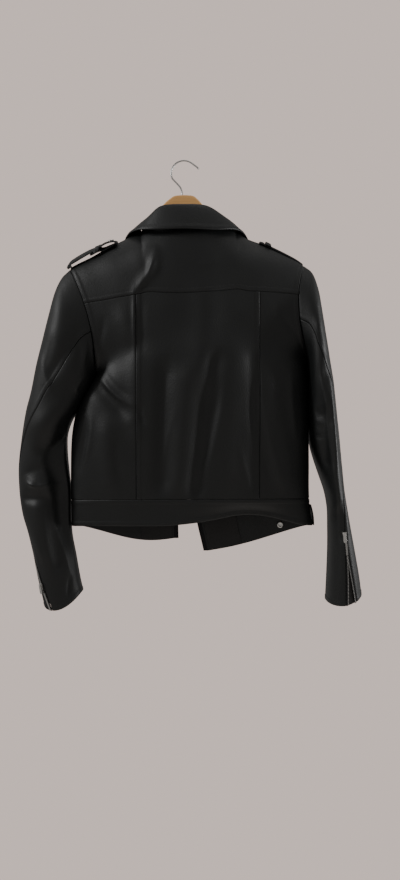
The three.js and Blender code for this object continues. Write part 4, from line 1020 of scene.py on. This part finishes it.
def front_tape_at(side, column, row):
    edge = look(EDGES[side], row)
    way = 1 if side == "left" else -1
    return np.stack([edge[0] + way * mix(-1.2, 7.5, column), edge[1] - 0.2, edge[2]], -1)


def cuff_strip(end, start, stop, column, row):
    """A strip in the gap of a cuff zip. Its sides are turns from the upper seam where they are
    positive and from the under seam where they are negative, up to near the middle."""
    under, upper = look_straight(SLEEVES[end]["seams"], row)
    half = (under - upper) * 0.46

    def turn_at(shift):
        if shift >= 0:
            return upper + np.minimum(shift, half)
        return under + np.maximum(shift, -half)

    return sleeve_at(SLEEVES[end]["table"], mix(turn_at(start), turn_at(stop), column), row)


def teeth(name, surface, column, rows, out, phase=0.0, size=TOOTH, pitch=TOOTH_PITCH):
    """Metal zip teeth: small blocks at an even pitch down a strip."""
    r = np.linspace(*rows, 240)
    c = np.full_like(r, column)
    line = surface(c, r)
    at = np.arange(pitch * (0.6 + phase), run_of(line)[-1], pitch)
    middle, way, up = places(line, normal_of(surface, c, r) * out, at, 0.4)
    axes = (np.cross(way, up), way, up)
    shape = BOX_CORNERS * np.array(size) / 2
    points, faces = repeated(shape, BOX_FACES, middle + up * TOOTH_LIFT, axes)
    add_object(name, points, faces, "nickel", flat_from=0)


def tape(node, surface, rows, out):
    panel(node, surface, TAPE_COLUMNS, rows, out, PLAIN, TAPE_THICK, "tape")


def gusset_at(column, row):
    """The leather that shows behind the open zip of the right cuff."""
    under, upper = look_straight(SEAM_RIGHT, row)
    return sleeve_at(SLEEVE_RIGHT, mix(upper - 0.012, under + 0.012, column), row)


def make_zips():
    for side, out, column, phase in (("left", 1, 0.80, 0.5), ("right", -1, 0.9, 0.0)):
        surface = lambda c, r: front_tape_at(side, c, r)
        tape(f"front_zip_tape_{side[0]}", surface, mix(*FRONT_TAPE_ROWS, marks(300, TAPE_STEP)), out)
        teeth(f"front_zip_teeth_{side[0]}", surface, column, FRONT_TAPE_ROWS, out, phase)
    closed = lambda c, r: cuff_strip("l", 0.003, -0.003, c, r)
    tape("cuff_zip_tape_l", closed, mix(13.6, CUFF_ROW, marks(56, TAPE_STEP)), -1)
    teeth("cuff_zip_teeth_l", closed, 0.5, (13.3, CUFF_ROW), -1, **CLOSED_TEETH)
    outer = lambda c, r: cuff_strip("r", 0.003, 0.022, c, r)
    inner = lambda c, r: cuff_strip("r", -0.022, -0.003, c, r)
    rows = mix(12.9, CUFF_ROW, marks(75, TAPE_STEP))
    tape("cuff_zip_tape_r_outer", outer, rows, 1)
    tape("cuff_zip_tape_r_inner", inner, rows, 1)
    teeth("cuff_zip_teeth_r_outer", outer, 0.85, (OPEN_ROW, CUFF_ROW), 1)
    teeth("cuff_zip_teeth_r_inner", inner, 0.15, (OPEN_ROW, CUFF_ROW), 1, 0.5)
    above = lambda c, r: sleeve_at(SLEEVE_RIGHT, mix(CLOSED_TURN, 0.25, c), r)
    teeth("cuff_zip_teeth_r_closed", above, 0.0, (11.9, OPEN_ROW), 1, **CLOSED_TEETH)
    panel("cuff_gusset_r", moved(gusset_at, -(LEATHER + PLY_GAP * 2), 1), np.linspace(0, 1, 16), rows, 1,
          PLAIN, 1.0, "inside")


# ---- metal parts
def ring_faces(rings, sides):
    """Quads between rings of points, and a face over each end."""
    faces = []
    for i in range(rings - 1):
        for k in range(sides):
            n = (k + 1) % sides
            faces.append((i * sides + k, i * sides + n, (i + 1) * sides + n, (i + 1) * sides + k))
    faces.append(tuple(range(sides))[::-1])
    faces.append(tuple((rings - 1) * sides + k for k in range(sides)))
    return faces


# A snap cap from its rim to its dished middle: share of its radius, share of its height.
CAP = [
    (0.4, 0), (1.0, 0), (1.0, 0.5), (0.94, 0.8), (0.82, 0.98), (0.6, 1.0), (0.5, 0.78),
    (0.3, 0.72), (0.1, 0.7),
]
CAP_SIDES = 32
WIRE_SIDES = 16
WIRE_END = 0.55


def turned_to(points, turn, centre):
    return points @ np.array(turn).T + np.array(centre)


def snap(name, node, radius, height, centre, outward):
    points = []
    for wide, high in CAP:
        for k in range(CAP_SIDES):
            a = 2 * math.pi * k / CAP_SIDES
            points.append((wide * radius * math.cos(a), wide * radius * math.sin(a), high * height))
    turn = Vector(outward).normalized().to_track_quat("Z", "Y").to_matrix()
    faces = ring_faces(len(CAP), CAP_SIDES)
    add_object(name, turned_to(np.array(points), turn, centre), faces, "nickel", [node], slot="snap_metal")


def tube(name, node, line, radius, look_name):
    """A round wire along a line, narrower at both ends."""
    way = np.gradient(line, axis=0)
    way /= np.linalg.norm(way, axis=1, keepdims=True)
    up = np.array([0.0, 1.0, 0.0])
    side = np.cross(way, up)
    side /= np.linalg.norm(side, axis=1, keepdims=True)
    ring = np.arange(WIRE_SIDES) * 2 * np.pi / WIRE_SIDES
    shrink = np.ones(len(line))
    shrink[0] = WIRE_END
    shrink[-1] = WIRE_END
    points = (
        line[:, None]
        + (np.cos(ring)[None, :, None] * side[:, None] + np.sin(ring)[None, :, None] * up)
        * radius * shrink[:, None, None]
    ).reshape(-1, 3)
    add_object(name, points, ring_faces(len(line), WIRE_SIDES), look_name, [node])


def block(size, centre=(0, 0, 0), taper=1.0):
    points = BOX_CORNERS * np.array(size) / 2
    points[:, 0] *= np.where(points[:, 1] < 0, taper, 1.0)
    return points + np.array(centre), BOX_FACES


def join(parts):
    points = []
    faces = []
    count = 0
    for p, f in parts:
        points.append(p)
        faces += [tuple(v + count for v in face) for face in f]
        count += len(p)
    return np.concatenate(points), faces


def bevel(made, width):
    modifier = made.modifiers.new("rounded", "BEVEL")
    modifier.width = width * MM
    modifier.segments = 2
    modifier.limit_method = "ANGLE"


# The pull tab in its own plane, with the hinge at its origin.
PULL_OUTLINE = [
    (1.56, 0.6), (-1.56, 0.6), (-2.2, -5), (-2.6, -12), (-2.2, -14.2), (-1.3, -15), (1.3, -15),
    (2.2, -14.2), (2.6, -12), (2.2, -5),
]
PULL_HOLE = 1.1
PULL_HOLE_DOWN = -11
PULL_THICK_HALF = 0.42
PULL_ROUND = 0.18


def make_pull(name, node, place, body):
    """A pull tab with a round hole near its lower end."""
    turns = np.linspace(0, 2 * math.pi, 13)[:-1]
    hole = [(PULL_HOLE * math.cos(a), PULL_HOLE_DOWN + PULL_HOLE * math.sin(a)) for a in turns]
    curve = bpy.data.curves.new(name, "CURVE")
    curve.dimensions = "2D"
    curve.fill_mode = "BOTH"
    for loop in (PULL_OUTLINE, hole):
        spline = curve.splines.new("POLY")
        spline.points.add(len(loop) - 1)
        for point, (x, y) in zip(spline.points, loop):
            point.co = (x * MM, y * MM, 0, 1)
        spline.use_cyclic_u = True
    curve.extrude = PULL_THICK_HALF * MM
    curve.bevel_depth = PULL_ROUND * MM
    curve.bevel_resolution = 2
    made = bpy.data.objects.new(name, curve)
    bpy.context.scene.collection.objects.link(made)
    curve.materials.append(LOOKS["nickel"])
    made.matrix_world = place
    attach(made, body)
    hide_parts(node)


SLIDER_LIFT = 0.9 + 1.3
HINGE_LIFT = 1.3 + 2.6 + 0.6
HINGE_UP = 2.5


def make_slider(zip_name, point, outward, down, body):
    """A slider with its pull tab lying down along the zip."""
    out = Vector(outward).normalized()
    up = -Vector(down).normalized()
    side = up.cross(out).normalized()
    up = out.cross(side)
    turn = Matrix((side, up, out)).transposed()
    seat = Vector(point) + out * SLIDER_LIFT
    hinge = Vector(point) + out * HINGE_LIFT + up * HINGE_UP
    points, faces = join([
        block((6.6, 8.6, 1.0), (0, 0, 0.75), 0.72),
        block((6.6, 8.6, 0.9), (0, 0, -0.8), 0.72),
        block((2.2, 8.4, 1.2), (0, 0, 0)),
        block((1.9, 5.6, 0.7), (0, 0.6, 1.6)),
    ])
    made = add_object(f"{zip_name}_slider_body", turned_to(points, turn, seat), faces, "nickel",
                      [f"{zip_name}_slider"], flat_from=0)
    bevel(made, 0.35)
    place = Matrix.Translation(hinge * MM) @ turn.to_4x4()
    make_pull(f"{zip_name}_pull_tab", f"{zip_name}_pull", place, body)


def on_sleeve(end, turn, row):
    """A point of a sleeve, with the way outwards and the way down there."""
    sleeve = SLEEVES[end]
    surface = lambda c, r: sleeve_at(sleeve["table"], c, r, creased=False)
    c = np.array([float(turn)])
    r = np.array([float(row)])
    outward = normal_of(surface, c, r)[0] * sleeve["out"]
    down = surface(c, r + 0.2)[0] - surface(c, r - 0.2)[0]
    return surface(c, r)[0], outward, down


def make_sliders():
    row = 14.1
    under, upper = look_straight(SEAM_LEFT, row)
    make_slider("cuff_zip_l", *on_sleeve("l", (under + upper) / 2, row), "cuff_pull_l")
    make_slider("cuff_zip_r", *on_sleeve("r", CLOSED_TURN, 12.0), "cuff_pull_r")
    seat = front_tape_at("left", np.array([0.6]), np.array([2.19]))[0] + np.array([0, 0.1, 0])
    make_slider("front_zip", seat, (0, 1, 0), (0, 0, -1), "front_pull")


# ---- epaulets and hem trims
SNAP_HIGH = 2.0
EPAULET_SNAP = 5.2
HEM_SNAP = 5.4


def strap_at(e, step, y):
    """A point of an epaulet at a step of its table, drooping to the back and to the front."""
    x, z, droop = look(e["table"], step)
    behind = (np.maximum(0, -y) / STRAP_HALF) ** 1.6
    ahead = (np.maximum(0, y) / STRAP_HALF) ** 2
    return np.stack([x + 0 * y, y, z + e["tilt"] * y - droop * behind - e["fall"] * ahead], -1)


def keeper_at(e, column, turn):
    """A point of the loop over an epaulet, with its ends turned down beside the strap."""
    swing = -np.cos(np.pi * turn)
    y = (e["back"] + e["front"]) / 2 + ((e["front"] - e["back"]) / 2 + 3.2) * swing
    step = e["keeper"] + mix(-0.45, 0.45, column)
    on_strap = strap_at(e, step, np.clip(y, e["back"], e["front"]))
    lift = LEATHER + PLY_GAP * 2.2 + e["slack"] * (1 - swing**2)
    up = on_strap[..., 2] + lift - e["hang"] * np.abs(swing) ** 30
    return np.stack([on_strap[..., 0], y, up], -1)


def make_epaulet(end):
    e = EPAULETS[end]
    last = e["table"][-1][0]
    surface = lambda c, r: strap_at(e, c, r)
    wide = mix(e["back"], e["front"], marks(e["front"] - e["back"], FINE_STEP))
    panel(f"epaulet_{end}", surface, marks(e["long"], FINE_STEP) * last, wide, e["out"],
          edges("stitched", "stitched", "open", "stitched"), e["thick"])
    keeper = lambda c, r: keeper_at(e, c, r)
    panel(f"epaulet_keeper_{end}", keeper, marks(10, 1.5), marks(56, 1.5), e["out"],
          edges(None, None, "seam", "seam"))
    for edge in ("c1", "r0", "r1"):
        sew_edge(f"epaulet_{end}", edge, STRAP_STITCH)
    at = (np.array([float(e["snap"])]), np.array([float(e["snap_y"])]))
    up = normal_of(surface, *at)[0] * e["out"]
    seat = surface(*at)[0] + up * PLY_GAP * 1.5
    snap(f"epaulet_snap_{end}_cap", f"epaulet_snap_{end}", EPAULET_SNAP, SNAP_HIGH, seat, up)


def side_tab_at(column, row):
    """A point of the tab that lies over the right side seam at the hem."""
    bow = 0.2 + 1.4 * np.sin(np.pi * row)
    return np.stack([215 + (row - 0.5) * 5 + bow, mix(-11, 11, column), mix(-583, -617, row)], -1)


def make_trims():
    panel("side_tab_r", side_tab_at, marks(22, 2.0), marks(36, 2.0), 1, ALL_SEAMS, 2.0)
    x, y, z = front_at("right", np.array([0.445]), np.array([2.185]))[0]
    seat = (x, y - LEATHER - PLY_GAP * 6, z)
    snap("hem_snap_r_cap", "hem_snap_r", HEM_SNAP, SNAP_HIGH, seat, (0, -1, 0))


# ---- hanger
def rounded_slab(name, node, outline, depth, round_by, look_name):
    """A flat board with rounded edges, its outline in x and z."""
    flat = np.array(outline, float)
    middle = np.roll(flat, -1, 0) - np.roll(flat, 1, 0)
    normal = np.stack([middle[:, 1], -middle[:, 0]], 1)
    normal /= np.linalg.norm(normal, axis=1, keepdims=True)
    area = np.sum(flat[:, 0] * np.roll(flat[:, 1], -1) - np.roll(flat[:, 0], -1) * flat[:, 1])
    if area > 0:
        normal = -normal
    rings = []
    for angle in np.linspace(-90, 90, 9):
        a = math.radians(angle)
        y = math.sin(a) * round_by + math.copysign(depth / 2 - round_by, a) if angle else 0
        ring = flat + normal * (round_by * (1 - math.cos(a)))
        rings.append(np.stack([ring[:, 0], np.full(len(ring), y), ring[:, 1]], 1))
    add_object(name, np.concatenate(rings), ring_faces(len(rings), len(flat)), look_name, [node])


def smooth_line(points, per):
    """A smooth line through points, with `per` pieces between two of them."""
    keys = np.arange(len(points), dtype=float)
    table = np.column_stack([keys, np.array(points, float)])
    at = np.linspace(0, len(points) - 1, (len(points) - 1) * per + 1)
    return points_at(table, at)


def make_hanger():
    outline = np.concatenate([smooth_line(HANGER_TOP, 3), smooth_line(HANGER_BELOW, 3)])
    rounded_slab("hanger_board", "hanger_wood", outline, WOOD_THICK, WOOD_ROUND, "wood")
    points = [(x, 0, z) for x, z in HOOK_TIP]
    for degrees in np.linspace(52, 192, 9):
        a = math.radians(degrees)
        height = math.sin(a) * HOOK_RADIUS + WIRE_RADIUS - HOOK_RADIUS
        points.append((math.cos(a) * HOOK_RADIUS, 0, height))
    points += [(x, 0, z) for x, z in HOOK_TAIL]
    tube("hanger_hook_wire", "hanger_hook", smooth_line(points, 8), WIRE_RADIUS, "steel")


# ---- camera and light
CAMERA_AT = (0.0272, -1.25, -0.4735)
LENS = 30.08
FLOOR_Z = -1.9


def make_camera():
    camera = bpy.data.cameras.new("camera")
    camera.sensor_width = 36
    camera.lens = LENS
    camera.clip_start = 0.05
    made = bpy.data.objects.new("camera", camera)
    made.location = CAMERA_AT
    made.rotation_euler = (math.pi / 2, 0, 0)
    bpy.context.scene.collection.objects.link(made)
    bpy.context.scene.camera = made


def soft_box(name, place, aim, wide, high, power):
    light = bpy.data.lights.new(name, "AREA")
    light.shape = "RECTANGLE"
    light.size = wide
    light.size_y = high
    light.energy = power
    made = bpy.data.objects.new(name, light)
    made.location = place
    made.rotation_euler = (Vector(aim) - Vector(place)).to_track_quat("-Z", "Y").to_euler()
    bpy.context.scene.collection.objects.link(made)


def make_stage():
    """A floor out of the picture, and a pale wall as the colour that camera rays see."""
    mesh = bpy.data.meshes.new("floor")
    corners = [(-2.2, -3.3), (2.2, -3.3), (2.2, 1.1), (-2.2, 1.1)]
    mesh.from_pydata([(x, y, FLOOR_Z) for x, y in corners], [], [(0, 1, 2, 3)])
    floor = bpy.data.objects.new("floor", mesh)
    mesh.materials.append(material("floor", (0.92, 0.87, 0.83), 0.9))
    bpy.context.scene.collection.objects.link(floor)
    world = bpy.data.worlds.new("studio")
    bpy.context.scene.world = world
    world.use_nodes = True
    nodes = world.node_tree.nodes
    links = world.node_tree.links
    seen = nodes["Background"]
    seen.inputs["Color"].default_value = (0.77, 0.645, 0.59, 1)
    seen.inputs["Strength"].default_value = 1.0
    dim = nodes.new("ShaderNodeBackground")
    dim.inputs["Color"].default_value = (0.62, 0.60, 0.58, 1)
    dim.inputs["Strength"].default_value = 0.45
    path = nodes.new("ShaderNodeLightPath")
    either = nodes.new("ShaderNodeMixShader")
    links.new(path.outputs["Is Camera Ray"], either.inputs["Fac"])
    links.new(dim.outputs["Background"], either.inputs[1])
    links.new(seen.outputs["Background"], either.inputs[2])
    links.new(either.outputs["Shader"], nodes["World Output"].inputs["Surface"])
    middle = (0.0, 0.0, -0.42)
    soft_box("key", (-1.7, -0.5, 0.7), middle, 0.24, 0.9, 16)
    soft_box("fill", (1.7, -0.12, -0.3), middle, 0.2, 1.2, 17)
    soft_box("top", (0.1, 0.1, 1.3), middle, 1.4, 0.6, 3)


# ---- build
make_back()
for each_side in ("left", "right"):
    make_front(each_side)
for each_end in SLEEVES:
    make_sleeve(each_end)
make_collar()
make_zips()
for each_end in EPAULETS:
    make_epaulet(each_end)
make_trims()
make_sliders()
make_hanger()
make_sewing("stitching")
make_stage()
make_camera()
